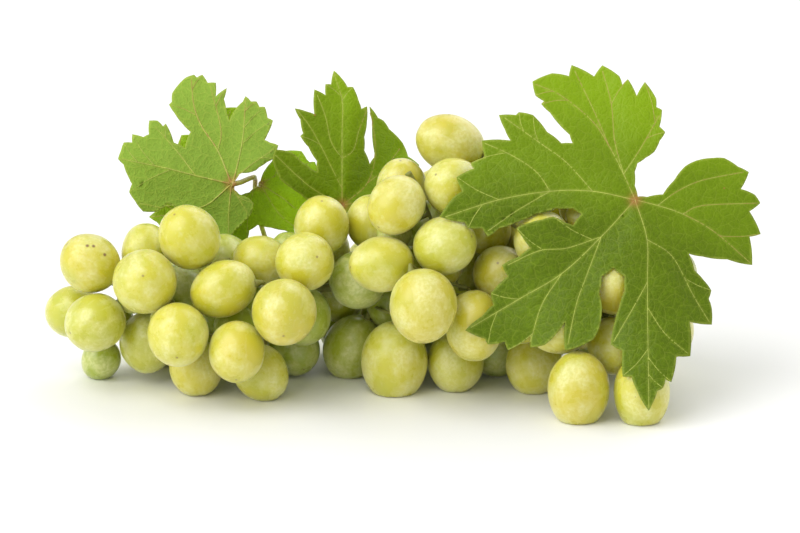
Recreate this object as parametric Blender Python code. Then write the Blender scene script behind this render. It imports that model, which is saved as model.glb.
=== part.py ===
"""Bunch of white grapes lying on its side, with its branched stalk and four vine leaves.

Lengths in the tables are millimetres. +X runs from the tip of the bunch to its cut
stalk, -Y is the front, +Z is up and the surface that the bunch lies on is Z = 0.
"""

import math
from collections import namedtuple

import bmesh
import bpy
import numpy as np
from mathutils import Vector
from mathutils.bvhtree import BVHTree

MM = 0.001
MERGE_DISTANCE = 1e-6       # metres: only the seam between a tube and its caps

# Driving dimensions, in millimetres
BERRY_GAP = 0.3
BERRY_SEGMENTS = 12
BERRY_RINGS = 8
BERRY_TAPER = 0.05          # the free end of a berry is this much slimmer
REST_FLAT_DEPTH = 0.5       # how far a berry's weight flattens it on the surface
RESTING_HEIGHT = 14.0       # a berry listed no higher than this lies on the surface
TWIG_RADIUS = 0.85
TWIG_END_RADIUS = 1.3       # the wart where the pedicel meets its berry
PEDICEL_GAP = 0.5           # between that wart and the berry
STEM_RADIUS_CUT = 2.6
STEM_RADIUS_TIP = 1.1
BLADE_THICKNESS = 0.9
BLADE_CELL = 7.0
LEAF_STALK_RADIUS = 1.1
LEAF_LEAN = math.radians(17)    # leaf blades lean back from upright by this much
CUT_END_FLARE = 1.25        # the cut end of the main stem is this much thicker
LEAF_STALK_ROOT = 0.7       # and a leaf stalk this much slimmer where it meets the blade
CLEARANCE = 0.35
BLADE_CLEARANCE = 1.3       # between a draped blade and the berries under it
OUTLINE_CUTTER = 6.0        # thickness of the plate that trims a blade to its outline
OUTLINE_MARGIN = 4.0        # how much wider than its outline a blade starts

# How the berries settle and the twigs find their way
SETTLING_ROUNDS = 900
SETTLED_WITHIN = 0.01
MOBILITY = (0.45, 1.0, 0.45)    # berries give way mostly in depth, less along and up
TWIG_ROUNDS = 160
TWIG_STRAIGHTENING = 0.35
TWIG_STEP = 2.5
TWIG_CLEAR_WITHIN = 0.02
TWIG_LEAD = 4.0             # a twig first heads this far straight off its berry
TWIG_LOWEST_LEAD = 2.0
PEDICEL_TILTS = (0, 20, 38, 55, 75, 95)     # degrees off the stem end of the berry
PEDICEL_TURNS = 8
NEAR_JOINTS = (0, 4, 10, 18, 28)    # which of the joints a twig tries, nearest first
FAR_JOINTS = (40, 56, 76, 100)      # tried when it can't reach any of those
BARE_STEM_POINTS = 8        # no twig joins this first stretch of the main stem
DRAPE_ROUNDS = 14
TINY = 1e-6

# Spacing of the points along stems and twigs
STEM_SPACING = 3.0
JOINT_SPACING = 2.0
TWIG_CHECK_SPACING = 0.8
TWIG_COVER_SPACING = 1.5
STEM_SECTION = 9.0
TWIG_SECTION = 3.6
LEAF_STALK_SECTION = 4.0

Berries = namedtuple("Berries", "names centres directions half_widths half_lengths floors")

# Berries: x, y, z of the centre, width, length, and which way the free end points.
# (0, 0, 0) lets the free end point straight away from the main stem.
AWAY = (0, 0, 0)
BERRIES = {
    "tip": [
        (-111, 3, 45, 21, 22, AWAY),
        (-109, -6, 26, 21, 22, AWAY),
        (-118, 12, 24, 19, 20, AWAY),
        (-108, 10, 7, 14, 15, AWAY),
        (-91, 8, 48, 18, 20, AWAY),
    ],
    "front": [
        (-90, -15, 43, 23, 24, (0, -2, 1)),
        (-91, 4, 15, 20, 22, AWAY),
        (-77, -24, 28, 22, 23, (0, -2, -1)),
        (-63, -13, 40, 20, 24, (-3, -1, -1)),
        (-57, -26, 23, 20, 22, (0, -1, -1)),
        (-42, -24, 36, 23, 24, (0, -2, -1)),
        (-34, -10, 49, 21, 22, (1, -2, 1)),
        (-35, 1, 26, 21, 22, AWAY),
        (-15, 6, 38, 21, 22, AWAY),
        (-5, -15, 52, 20, 23, (-3, -1, 0)),
        (8, -29, 40, 24, 26, (0, -1, -2)),
        (15, -15, 57, 21, 23, (2, -1, 1)),
        (27, -18, 30, 21, 25, (0, -1, -2)),
        (35, -3, 46, 20, 22, AWAY),
        (32, 4, 54, 18, 20, AWAY),
        (50, -12, 58, 21, 23, AWAY),
        (59, -25, 29, 20, 23, (-2, -1, 0)),
        (76, -19, 44, 20, 23, (0, -1, 2)),
        (78, -24, 22, 20, 22, AWAY),
        (92, -15, 25, 20, 22, AWAY),
    ],
    "top": [
        (-75, -4, 57, 22, 24, (-1, -1, 2)),
        (-50, 3, 46, 18, 20, (1, 0, 0)),
        (-28, 6, 57, 20, 22, AWAY),
        (-10, 16, 57, 19, 20, AWAY),
        (0, -8, 69, 20, 22, (-1, -1, -1)),
        (0, 10, 71, 18, 20, AWAY),
        (18, -1, 75, 21, 23, (-1, -1, 1)),
        (18, 15, 85, 21, 25, (-2, 0, 1)),
        (50, 0, 76, 21, 23, AWAY),
        (66, 8, 66, 20, 22, AWAY),
        (86, 1, 57, 20, 22, AWAY),
    ],
    "foot": [
        (-73, -7, 10, 19, 20, AWAY),
        (-50, -14, 10, 19, 21, (2, -1, -2)),
        (-17, 13, 13, 21, 23, (-1, 0, -2)),
        (-2, -6, 12, 24, 26, (0, 0, -1)),
        (20, -2, 10, 20, 22, AWAY),
        (48, -4, 10, 20, 22, AWAY),
        (63, -36, 13, 22, 25, (0, 0, -1)),
        (84, -35, 12, 20, 24, (0, 0, -1)),
    ],
    "back": [
        (-86, 26, 11, 20, 22, AWAY),
        (-94, 22, 33, 20, 22, AWAY),
        (-56, 34, 31, 21, 23, AWAY),
        (-44, 32, 11, 20, 22, AWAY),
        (-10, 40, 33, 21, 23, AWAY),
        (6, 36, 11, 21, 23, AWAY),
        (34, 38, 38, 21, 23, AWAY),
        (52, 30, 11, 21, 23, AWAY),
        (38, 26, 62, 20, 22, AWAY),
        (74, 28, 38, 21, 23, AWAY),
        (88, 14, 12, 20, 22, AWAY),
    ],
}

# The main stem, from its cut end to the last fork
MAIN_STEM = [
    (115, 20, 62), (107, 18, 56), (98, 15, 50), (84, 9, 42), (68, 7, 36), (48, 12, 33),
    (24, 17, 33), (2, 17, 33), (-20, 17, 32), (-42, 14, 31), (-62, 10, 30), (-80, 8, 29),
    (-94, 6, 29),
]

# Leaf outlines, in the plane of the blade, x to the right and y up from the point where
# the leaf stalk joins. Only the tips, the notches and the bends between them are listed.
FRONT_OUTLINE = [
    (0, 5), (0, 10), (1, 13), (4, 15), (7, 17), (9, 21), (11, 24), (9, 26), (10, 32),
    (8, 33), (8, 36), (4, 42), (1, 37), (-2, 43), (-4, 41), (-5, 44), (-11, 48),
    (-14, 44), (-22, 48), (-23, 44), (-29, 45), (-36, 42), (-35, 37), (-32, 35),
    (-33, 34), (-30, 31), (-23, 23), (-22, 20), (-26, 20), (-31, 24), (-36, 30),
    (-41, 31), (-42, 30), (-48, 30), (-46, 25), (-44, 21), (-54, 21), (-53, 15),
    (-58, 13), (-57, 11), (-63, 8), (-61, 3), (-64, 1), (-69, -6), (-60, -8),
    (-59, -10), (-54, -10), (-52, -13), (-48, -10), (-42, -8), (-35, -5), (-28, -3),
    (-22, -3), (-19, -5), (-22, -9), (-25, -8), (-29, -6), (-33, -7), (-37, -8),
    (-42, -10), (-40, -13), (-37, -17), (-41, -20), (-47, -23), (-45, -27), (-51, -33),
    (-50, -37), (-54, -41), (-60, -46), (-53, -49), (-52, -51), (-46, -50), (-45, -53),
    (-41, -51), (-37, -48), (-37, -52), (-32, -51), (-28, -47), (-25, -43), (-25, -53),
    (-21, -52), (-15, -49), (-13, -45), (-12, -38), (-13, -33), (-12, -27), (-8, -24),
    (-4, -27), (-4, -32), (-6, -38), (-8, -45), (-9, -51), (-5, -53), (-5, -62),
    (-2, -62), (0, -67), (4, -74), (5, -72), (7, -67), (9, -66), (10, -63), (12, -64),
    (14, -55), (19, -55), (19, -43), (27, -44), (27, -38), (26, -35), (27, -32),
    (24, -28), (21, -25), (19, -19), (24, -20), (33, -21), (42, -23), (41, -13),
    (45, -12), (41, -4), (45, -1), (43, 2), (38, 4), (41, 10), (37, 12), (32, 15),
    (28, 15), (22, 14), (18, 12), (14, 7), (10, 2), (4, 1), (1, 1),
]
BACK_LEFT_OUTLINE = [
    (1, 1), (3, 4), (6, 4), (9, 5), (10, 6), (13, 8), (15, 9), (17, 14), (14, 15),
    (12, 16), (13, 18), (15, 23), (13, 24), (12, 28), (10, 28), (9, 30), (7, 30),
    (5, 32), (4, 30), (1, 27), (-1, 23), (-2, 26), (-3, 31), (-2, 35), (-6, 32),
    (-6, 37), (-9, 37), (-11, 40), (-13, 39), (-14, 40), (-17, 39), (-20, 36),
    (-22, 33), (-22, 30), (-23, 29), (-21, 26), (-18, 22), (-15, 19), (-16, 17),
    (-17, 13), (-21, 15), (-24, 22), (-25, 21), (-27, 23), (-30, 23), (-30, 18),
    (-32, 17), (-36, 18), (-36, 15), (-39, 15), (-40, 12), (-41, 9), (-39, 7),
    (-37, 2), (-36, 0), (-37, -3), (-35, -6), (-32, -10), (-27, -10), (-23, -7),
    (-20, -8), (-17, -14), (-11, -18), (-2, -22), (1, -17), (4, -14), (7, -11),
    (8, -7), (6, -5), (3, -4), (1, -2),
]
BACK_LOW_OUTLINE = [
    (0, 1), (1, 4), (4, 8), (8, 12), (15, 12), (17, 9), (18, 8), (20, 8), (21, 5),
    (26, -2), (28, -11), (22, -14), (17, -19), (14, -19), (9, -17), (4, -16),
    (-1, -15), (-4, -17), (-5, -21), (-12, -21), (-19, -20), (-26, -19), (-35, -17),
    (-38, -14), (-41, -12), (-37, -9), (-39, -4), (-35, 5), (-31, 12), (-29, 18),
    (-25, 18), (-22, 16), (-19, 23), (-13, 28), (-8, 28), (-8, 24), (-6, 16),
    (-11, 9), (-12, 1), (-11, -3), (-7, -4), (-4, -3), (-3, -2), (0, -1),
]
BACK_CENTRE_OUTLINE = [
    (-1, 1), (-13, 2), (-15, 4), (-18, 6), (-22, 9), (-25, 16), (-24, 20), (-18, 19),
    (-15, 16), (-11, 13), (-9, 12), (-9, 16), (-12, 21), (-15, 25), (-14, 26),
    (-15, 31), (-17, 35), (-13, 34), (-10, 33), (-10, 42), (-6, 40), (-6, 44),
    (-4, 44), (-3, 49), (0, 46), (2, 43), (4, 43), (6, 38), (7, 35), (9, 36), (9, 31),
    (8, 25), (8, 20), (10, 15), (12, 18), (11, 31), (10, 36), (13, 32), (15, 31),
    (17, 28), (22, 23), (24, 18), (28, 15), (28, 13), (23, 5), (16, 0), (9, -3),
    (3, -4), (1, -2),
]

# Leaves: where the blade meets its stalk, the stalk's root in the blade, how steeply each
# lobe comes forward (direction in degrees, rise per length), the curl of the edges, which
# side of the berries the blade keeps to (+1 in front, -1 behind), and the way of the stalk.
LEAVES = {
    "leaf_front": {
        "outline": FRONT_OUTLINE,
        "joint": (83, -15, 74),
        "root": (-1, -2),
        "slopes": [(20, -0.25), (100, -0.22), (150, 0.02), (185, 0.05), (220, 0.02),
                   (275, 0.20), (335, -0.15)],
        "curl": -0.0010,
        "side": 1,
        "stalk": [(83, -8, 72), (87, 0, 70), (92, 8, 66), (99, 13, 60), (102, 14.5, 57)],
    },
    "leaf_back_left": {
        "outline": BACK_LEFT_OUTLINE,
        "joint": (-61, 33, 66),
        "root": (-2, -1),
        "slopes": [(30, 0.10), (110, -0.20), (170, 0.12), (250, -0.02), (320, 0.0)],
        "curl": -0.0015,
        "side": -1,
        "stalk": [(-58, 35, 66), (-54, 43, 65.5), (-53, 50, 63), (-53, 53, 56),
                  (-51, 50, 46), (-47, 40, 37), (-44, 28, 34), (-42, 17.5, 32.5)],
    },
    "leaf_back_low": {
        "outline": BACK_LOW_OUTLINE,
        "joint": (-51, 47, 62),
        "root": (2, -2),
        "slopes": [(0, 0.12), (90, -0.15), (180, -0.15), (270, -0.05)],
        "curl": 0.0,
        "side": -1,
        "stalk": [(-48, 50, 60), (-41, 50, 52), (-34, 44, 42), (-29, 32, 36),
                  (-27, 20.5, 33.5)],
    },
    "leaf_back_centre": {
        "outline": BACK_CENTRE_OUTLINE,
        "joint": (-21, 33, 58),
        "root": (0, 2),
        "slopes": [(90, -0.05), (40, -0.55), (150, 0.35), (240, 0.0), (300, 0.0)],
        "curl": 0.0,
        "side": -1,
        "stalk": [(-21, 34, 54), (-20, 32, 46), (-18, 26, 39), (-16, 20, 36)],
    },
}

COLOURS = {
    "berry": ((0.62, 0.60, 0.20, 1.0), 0.35),
    "rachis": ((0.20, 0.22, 0.06, 1.0), 0.60),
    "leaf_front": ((0.20, 0.32, 0.04, 1.0), 0.45),
    "leaf_back_left": ((0.33, 0.50, 0.12, 1.0), 0.60),
    "leaf_back_low": ((0.28, 0.40, 0.02, 1.0), 0.50),
    "leaf_back_centre": ((0.19, 0.30, 0.03, 1.0), 0.45),
}


def clear_scene():
    """Remove whatever the file already holds."""
    for obj in list(bpy.data.objects):
        bpy.data.objects.remove(obj, do_unlink=True)


def material(name, kind):
    """A plain Principled material in the part's own colour."""
    colour, roughness = COLOURS[kind]
    mat = bpy.data.materials.new(name)
    mat.use_nodes = True
    shader = mat.node_tree.nodes["Principled BSDF"]
    shader.inputs["Base Color"].default_value = colour
    shader.inputs["Roughness"].default_value = roughness
    shader.inputs["Metallic"].default_value = 0.0
    mat.diffuse_color = colour
    return mat


def add_object(name, mesh, kind, parent):
    """Link a mesh as one named piece of the bunch."""
    obj = bpy.data.objects.new(name, mesh)
    bpy.context.scene.collection.objects.link(obj)
    obj.data.materials.append(material(name, kind))
    obj.parent = parent
    return obj


def hide_tool(obj):
    """Mark an object as a tool for a modifier, which is not part of the bunch."""
    obj.hide_render = True
    obj.display_type = "WIRE"


def on_polyline(points, step):
    """Points at an even spacing along a polyline, with both of its ends."""
    points = np.array(points, float)
    lengths = np.linalg.norm(np.diff(points, axis=0), axis=1)
    along = np.concatenate([[0.0], np.cumsum(lengths)])
    count = max(2, int(round(along[-1] / step)) + 1)
    at = np.linspace(0.0, along[-1], count)
    return np.stack([np.interp(at, along, points[:, axis]) for axis in range(3)], axis=1)


# ---------------------------------------------------------------------------
# Berries: settled against each other until every pair has its gap
# ---------------------------------------------------------------------------

def unit(vector):
    """The vector at length one."""
    return vector / np.linalg.norm(vector)


def free_end_direction(centre, wanted, stem):
    """Which way a berry's free end points: as listed, or away from the main stem."""
    if any(wanted):
        return unit(np.array(wanted, float))
    nearest = stem[np.argmin(np.linalg.norm(stem - centre, axis=1))]
    return unit(centre - nearest)


def berry_balls(berries):
    """Three balls along each berry's long axis, which together cover it."""
    reach = berries.half_lengths - berries.half_widths
    steps = np.array([-1.0, 0.0, 1.0])
    offsets = berries.directions[:, None, :] * (reach[:, None] * steps[None, :])[:, :, None]
    return berries.centres[:, None, :] + offsets


def berry_pushes(berries, pairs_i, pairs_j):
    """The way each berry is pushed by the ones it overlaps, and the deepest overlap."""
    balls = berry_balls(berries)
    move = np.zeros_like(berries.centres)
    needed = berries.half_widths[pairs_i] + berries.half_widths[pairs_j] + BERRY_GAP
    gaps = balls[pairs_i][:, :, None, :] - balls[pairs_j][:, None, :, :]
    gaps = gaps.reshape(len(pairs_i), -1, 3)
    reach = np.linalg.norm(gaps, axis=2)
    closest = np.argmin(reach, axis=1)
    shortest = reach[np.arange(len(pairs_i)), closest]
    short = needed - shortest
    for k in np.nonzero(short > 0.0)[0]:
        way = gaps[k, closest[k]] / max(shortest[k], TINY)
        move[pairs_i[k]] += way * short[k] / 2.0
        move[pairs_j[k]] -= way * short[k] / 2.0
    return move, max(0.0, float(np.max(short)))


def stem_pushes(berries, stem):
    """The way each berry is pushed off the main stem, and the deepest overlap with it."""
    move = np.zeros_like(berries.centres)
    worst = 0.0
    for i, centre in enumerate(berries.centres):
        away = centre - stem
        distance = np.linalg.norm(away, axis=1)
        near = int(np.argmin(distance))
        lack = berries.half_widths[i] + STEM_RADIUS_CUT + CLEARANCE - distance[near]
        if lack > 0.0:
            move[i] = away[near] / distance[near] * lack
            worst = max(worst, lack)
    return move, worst


def settle(berries, stem):
    """Push overlapping berries apart, off the main stem and onto the surface."""
    pairs_i, pairs_j = np.triu_indices(len(berries.names), 1)
    centres = berries.centres
    resting = centres[:, 2] <= RESTING_HEIGHT
    for _ in range(SETTLING_ROUNDS):
        apart, overlap = berry_pushes(berries, pairs_i, pairs_j)
        off_stem, stem_overlap = stem_pushes(berries, stem)
        centres += (apart + off_stem) * np.array(MOBILITY)
        centres[:, 2] = np.maximum(centres[:, 2], berries.floors)
        centres[resting, 2] = berries.floors[resting]
        if max(overlap, stem_overlap) < SETTLED_WITHIN:
            break


def lowest_reach(direction, half_width, half_length):
    """How far a spheroid with this long axis reaches below its centre."""
    return math.sqrt((half_width * math.hypot(direction[0], direction[1])) ** 2
                     + (half_length * direction[2]) ** 2)


def settled_berries():
    """Every berry's name, centre, direction and half sizes, in millimetres."""
    stem = on_polyline(MAIN_STEM, STEM_SPACING)
    names = []
    rows = []
    for group, berries in BERRIES.items():
        for index, row in enumerate(berries, 1):
            names.append("berry_%s_%02d" % (group, index))
            rows.append((group,) + row)
    centres = np.array([row[1:4] for row in rows], float)
    half_widths = np.array([row[4] for row in rows], float) / 2.0
    half_lengths = np.array([row[5] for row in rows], float) / 2.0
    directions = np.array([free_end_direction(centre, row[6], stem)
                           for centre, row in zip(centres, rows)])
    floors = np.array([lowest_reach(d, a, c) - REST_FLAT_DEPTH
                       for d, a, c in zip(directions, half_widths, half_lengths)])
    berries = Berries(names, centres, directions, half_widths, half_lengths, floors)
    settle(berries, stem)
    return berries


def berry_mesh(name, half_width, half_length):
    """One berry about its own centre, its free end at +Z and slightly slimmer."""
    mesh = bpy.data.meshes.new(name)
    bm = bmesh.new()
    bmesh.ops.create_uvsphere(bm, u_segments=BERRY_SEGMENTS, v_segments=BERRY_RINGS, radius=1.0)
    for vert in bm.verts:
        slim = 1.0 - BERRY_TAPER * (vert.co.z + 1.0) / 2.0
        vert.co.x *= half_width * slim * MM
        vert.co.y *= half_width * slim * MM
        vert.co.z *= half_length * MM
    bm.to_mesh(mesh)
    bm.free()
    return mesh


def flatten_on_surface(obj):
    """Cut the berry level with the surface, where its weight rests."""
    bpy.context.view_layer.update()
    inverse = obj.matrix_world.inverted()
    point = inverse @ Vector((0.0, 0.0, 0.0))
    normal = (inverse.to_3x3() @ Vector((0.0, 0.0, -1.0))).normalized()
    bm = bmesh.new()
    bm.from_mesh(obj.data)
    geometry = bm.verts[:] + bm.edges[:] + bm.faces[:]
    cut = bmesh.ops.bisect_plane(bm, geom=geometry, plane_co=point, plane_no=normal,
                                 clear_outer=True, dist=1e-7)
    rim = [item for item in cut["geom_cut"] if isinstance(item, bmesh.types.BMEdge)]
    bmesh.ops.contextual_create(bm, geom=rim)
    bmesh.ops.recalc_face_normals(bm, faces=bm.faces[:])
    bm.to_mesh(obj.data)
    bm.free()


def build_berries(parent, berries):
    """All single berries, each turned so that its free end points its own way."""
    for name, centre, direction, half_width, half_length, floor in zip(*berries):
        mesh = berry_mesh(name, half_width, half_length)
        obj = add_object(name, mesh, "berry", parent)
        turn = Vector((0.0, 0.0, 1.0)).rotation_difference(Vector(direction))
        obj.rotation_mode = "QUATERNION"
        obj.rotation_quaternion = turn
        obj.location = Vector(centre) * MM
        obj.data.shade_smooth()
        if centre[2] < floor + REST_FLAT_DEPTH:
            flatten_on_surface(obj)


# ---------------------------------------------------------------------------
# Stalk: a main stem, and a twig for each berry that finds its way between the others
# ---------------------------------------------------------------------------

def inside_depth(points, berries, radius):
    """How deep each point sits in the berries' clearance, and the way out."""
    balls = berry_balls(berries).reshape(-1, 3)
    reach = np.repeat(berries.half_widths, 3) + radius + CLEARANCE
    away = points[:, None, :] - balls[None, :, :]
    distance = np.linalg.norm(away, axis=2)
    depth = reach[None, :] - distance
    deepest = np.argmax(depth, axis=1)
    rows = np.arange(len(points))
    way = away[rows, deepest] / np.maximum(distance[rows, deepest], TINY)[:, None]
    return depth[rows, deepest], way


def route(start, leave, goal, berries):
    """A smooth way from a berry to the stem, and how deep it still cuts a clearance."""
    points = on_polyline([start, leave, goal], TWIG_STEP)
    for _ in range(TWIG_ROUNDS):
        between = (points[1:-2] + points[3:]) / 2.0
        points[2:-1] += TWIG_STRAIGHTENING * (between - points[2:-1])
        depth, way = inside_depth(points[2:-1], berries, TWIG_RADIUS)
        points[2:-1] += np.maximum(depth, 0.0)[:, None] * way
        points[:, 2] = np.maximum(points[:, 2], TWIG_RADIUS + CLEARANCE)
    dense = on_polyline(points, TWIG_CHECK_SPACING)
    depth, _ = inside_depth(dense[2:], berries, TWIG_RADIUS)
    return points, float(np.max(depth))


def pedicel_starts(centre, direction, half_width, half_length):
    """Places on a berry where its pedicel can join, the stem end first."""
    base = -direction
    side = unit(np.cross(base, [0.3, 0.5, 0.8]))
    other = np.cross(base, side)
    for tilt in PEDICEL_TILTS:
        turns = PEDICEL_TURNS if tilt else 1
        for turn in range(turns):
            angle = 2.0 * math.pi * turn / turns
            lean = math.radians(tilt)
            around = side * math.cos(angle) + other * math.sin(angle)
            way = base * math.cos(lean) + around * math.sin(lean)
            reach = 1.0 / math.hypot(math.cos(lean) / half_length, math.sin(lean) / half_width)
            yield centre + way * (reach + PEDICEL_GAP), centre + way * (reach + TWIG_LEAD)


def twig_for(k, berries, network):
    """The first clear way from a berry to a joint on the network, or None."""
    starts = list(pedicel_starts(berries.centres[k], berries.directions[k],
                                 berries.half_widths[k], berries.half_lengths[k]))
    joints = np.array(network)
    for choices in (NEAR_JOINTS, FAR_JOINTS):
        for start, leave in starts:
            depth, _ = inside_depth(np.array([leave]), berries, TWIG_RADIUS)
            if depth[0] > 0.0 or leave[2] < TWIG_LOWEST_LEAD:
                continue
            order = np.argsort(np.linalg.norm(joints - leave, axis=1))
            for choice in choices:
                if choice >= len(order):
                    break
                points, worst = route(start, leave, joints[order[choice]], berries)
                if worst <= TWIG_CLEAR_WITHIN:
                    return points
    return None


def twig_routes(berries):
    """Route a twig from each berry, nearest first, to the closest stem it can reach."""
    network = list(on_polyline(MAIN_STEM, JOINT_SPACING)[BARE_STEM_POINTS:])
    distance = [min(np.linalg.norm(centre - point) for point in network)
                for centre in berries.centres]
    twigs = []
    for k in np.argsort(distance):
        points = twig_for(k, berries, network)
        if points is None:
            raise RuntimeError("no way to the stem for " + berries.names[k])
        twigs.append(points)
        network.extend(points[2:])
    return twigs


def tube_mesh(name, points, radii, sides_step):
    """A closed tube along the points, with its own radius at each."""
    curve = bpy.data.curves.new(name, "CURVE")
    curve.dimensions = "3D"
    curve.bevel_depth = MM
    curve.bevel_resolution = sides_step
    curve.use_fill_caps = True
    spline = curve.splines.new("POLY")
    spline.points.add(len(points) - 1)
    for knot, point, radius in zip(spline.points, points, radii):
        knot.co = (point[0] * MM, point[1] * MM, point[2] * MM, 1.0)
        knot.radius = radius
    obj = bpy.data.objects.new(name, curve)
    bpy.context.scene.collection.objects.link(obj)
    graph = bpy.context.evaluated_depsgraph_get()
    mesh = bpy.data.meshes.new_from_object(obj.evaluated_get(graph))
    bpy.data.objects.remove(obj, do_unlink=True)
    bpy.data.curves.remove(curve)
    bm = bmesh.new()
    bm.from_mesh(mesh)
    bmesh.ops.remove_doubles(bm, verts=bm.verts[:], dist=MERGE_DISTANCE)
    bmesh.ops.recalc_face_normals(bm, faces=bm.faces[:])
    bm.to_mesh(mesh)
    bm.free()
    return mesh


def build_stalk(parent, twigs):
    """The whole stalk: the main stem joined with every twig into one solid."""
    stem = on_polyline(MAIN_STEM, STEM_SECTION)
    radii = np.linspace(STEM_RADIUS_CUT, STEM_RADIUS_TIP, len(stem))
    radii[0] *= CUT_END_FLARE
    stalk = add_object("rachis", tube_mesh("rachis", stem, radii, 2), "rachis", parent)
    twig_set = bpy.data.collections.new("twigs")
    bpy.context.scene.collection.children.link(twig_set)
    for index, points in enumerate(twigs):
        points = on_polyline(points, TWIG_SECTION)
        radii = np.full(len(points), TWIG_RADIUS)
        radii[0] = TWIG_END_RADIUS
        mesh = tube_mesh("twig_%02d" % index, points, radii, 0)
        twig = bpy.data.objects.new("twig_%02d" % index, mesh)
        twig_set.objects.link(twig)
        twig.parent = parent
        hide_tool(twig)
    join = stalk.modifiers.new("join twigs", "BOOLEAN")
    join.operation = "UNION"
    join.operand_type = "COLLECTION"
    join.collection = twig_set
    join.solver = "EXACT"
    join.use_self = True
    stalk.data.shade_smooth()


# ---------------------------------------------------------------------------
# Leaves: a lobed blade bent over or behind the berries, joined with its own stalk
# ---------------------------------------------------------------------------

BLADE_RIGHT = np.array([1.0, 0.0, 0.0])
BLADE_UP = np.array([0.0, math.sin(LEAF_LEAN), math.cos(LEAF_LEAN)])
BLADE_OUT = np.array([0.0, -math.cos(LEAF_LEAN), math.sin(LEAF_LEAN)])


def lobe_rise(x, y, slopes):
    """Rise per length towards a lobe, eased between the listed directions."""
    angle = math.degrees(math.atan2(y, x)) % 360.0
    knots = sorted(slopes)
    knots = [(knots[-1][0] - 360.0, knots[-1][1])] + knots + [(knots[0][0] + 360.0, knots[0][1])]
    for (low, rise_low), (high, rise_high) in zip(knots, knots[1:]):
        if low <= angle <= high:
            part = (angle - low) / (high - low)
            ease = 0.5 - 0.5 * math.cos(math.pi * part)
            return rise_low + (rise_high - rise_low) * ease
    return 0.0


def blade_point(x, y, leaf):
    """Where a point of the flat blade lies in space, in millimetres."""
    radius = math.hypot(x, y)
    rise = radius * lobe_rise(x, y, leaf["slopes"]) + leaf["curl"] * radius * radius
    return np.array(leaf["joint"]) + BLADE_RIGHT * x + BLADE_UP * y + BLADE_OUT * rise


def things_under_leaves(berries, twigs):
    """Balls that fill every berry and twig: their centres and radii."""
    balls = berry_balls(berries).reshape(-1, 3)
    knots = np.concatenate([on_polyline(points, TWIG_COVER_SPACING) for points in twigs])
    radii = [np.repeat(berries.half_widths, 3), np.full(len(knots), TWIG_END_RADIUS)]
    return np.concatenate([balls, knots]), np.concatenate(radii)


def lift_over(point, side, things):
    """How far a blade's point moves forward or back to be clear of berries and twigs."""
    balls, radii = things
    reach = radii + BLADE_THICKNESS / 2.0 + BLADE_CLEARANCE
    away = point - balls
    along = away @ BLADE_OUT
    across = np.linalg.norm(away - along[:, None] * BLADE_OUT[None, :], axis=1)
    inside = across < reach
    if not np.any(inside):
        return 0.0
    need = np.sqrt(reach[inside] ** 2 - across[inside] ** 2) - side * along[inside]
    return max(0.0, float(np.max(need)))


def drape_lifts(bm, leaf, things):
    """Each vertex's lift, spread to its neighbours so that the blade bends softly."""
    needed = []
    for vert in bm.verts:
        place = blade_point(vert.co.x, vert.co.y, leaf)
        needed.append(lift_over(place, leaf["side"], things))
    needed = np.array(needed)
    lifts = needed.copy()
    around = [[edge.other_vert(vert).index for edge in vert.link_edges] for vert in bm.verts]
    for _ in range(DRAPE_ROUNDS):
        spread = np.array([lifts[near].mean() for near in around])
        lifts = np.maximum(needed, spread)
    return lifts


def thicken(bm, thickness):
    """Turn a flat sheet at Z = 0 into a closed plate, half above and half below."""
    sheet = bm.faces[:]
    made = bmesh.ops.extrude_face_region(bm, geom=sheet)
    top = [item for item in made["geom"] if isinstance(item, bmesh.types.BMVert)]
    bmesh.ops.translate(bm, vec=(0.0, 0.0, thickness), verts=top)
    bmesh.ops.translate(bm, vec=(0.0, 0.0, -thickness / 2.0), verts=bm.verts)
    bmesh.ops.recalc_face_normals(bm, faces=bm.faces[:])


def mesh_object(name, bm):
    """A linked object that holds a finished bmesh."""
    mesh = bpy.data.meshes.new(name)
    bm.to_mesh(mesh)
    bm.free()
    obj = bpy.data.objects.new(name, mesh)
    bpy.context.scene.collection.objects.link(obj)
    return obj


def flat_slab(name, outline):
    """A thin plate in cells, just wider than the outline."""
    xs = [point[0] for point in outline]
    ys = [point[1] for point in outline]
    columns = int((max(xs) - min(xs) + OUTLINE_MARGIN) / BLADE_CELL) + 1
    rows = int((max(ys) - min(ys) + OUTLINE_MARGIN) / BLADE_CELL) + 1
    slab = bmesh.new()
    bmesh.ops.create_grid(slab, x_segments=columns, y_segments=rows, size=0.5)
    bmesh.ops.scale(slab, vec=(columns * BLADE_CELL, rows * BLADE_CELL, 1.0), verts=slab.verts)
    middle = Vector(((max(xs) + min(xs)) / 2.0, (max(ys) + min(ys)) / 2.0, 0.0))
    bmesh.ops.translate(slab, vec=middle, verts=slab.verts)
    thicken(slab, BLADE_THICKNESS)
    return mesh_object(name + "_slab", slab)


def outline_cutter(name, outline):
    """A plate with the leaf's outline, which trims the slab."""
    plate = bmesh.new()
    corners = [plate.verts.new((x, y, 0.0)) for x, y in outline]
    plate.faces.new(corners)
    thicken(plate, OUTLINE_CUTTER)
    cutter = mesh_object(name + "_outline", plate)
    hide_tool(cutter)
    return cutter


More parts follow.
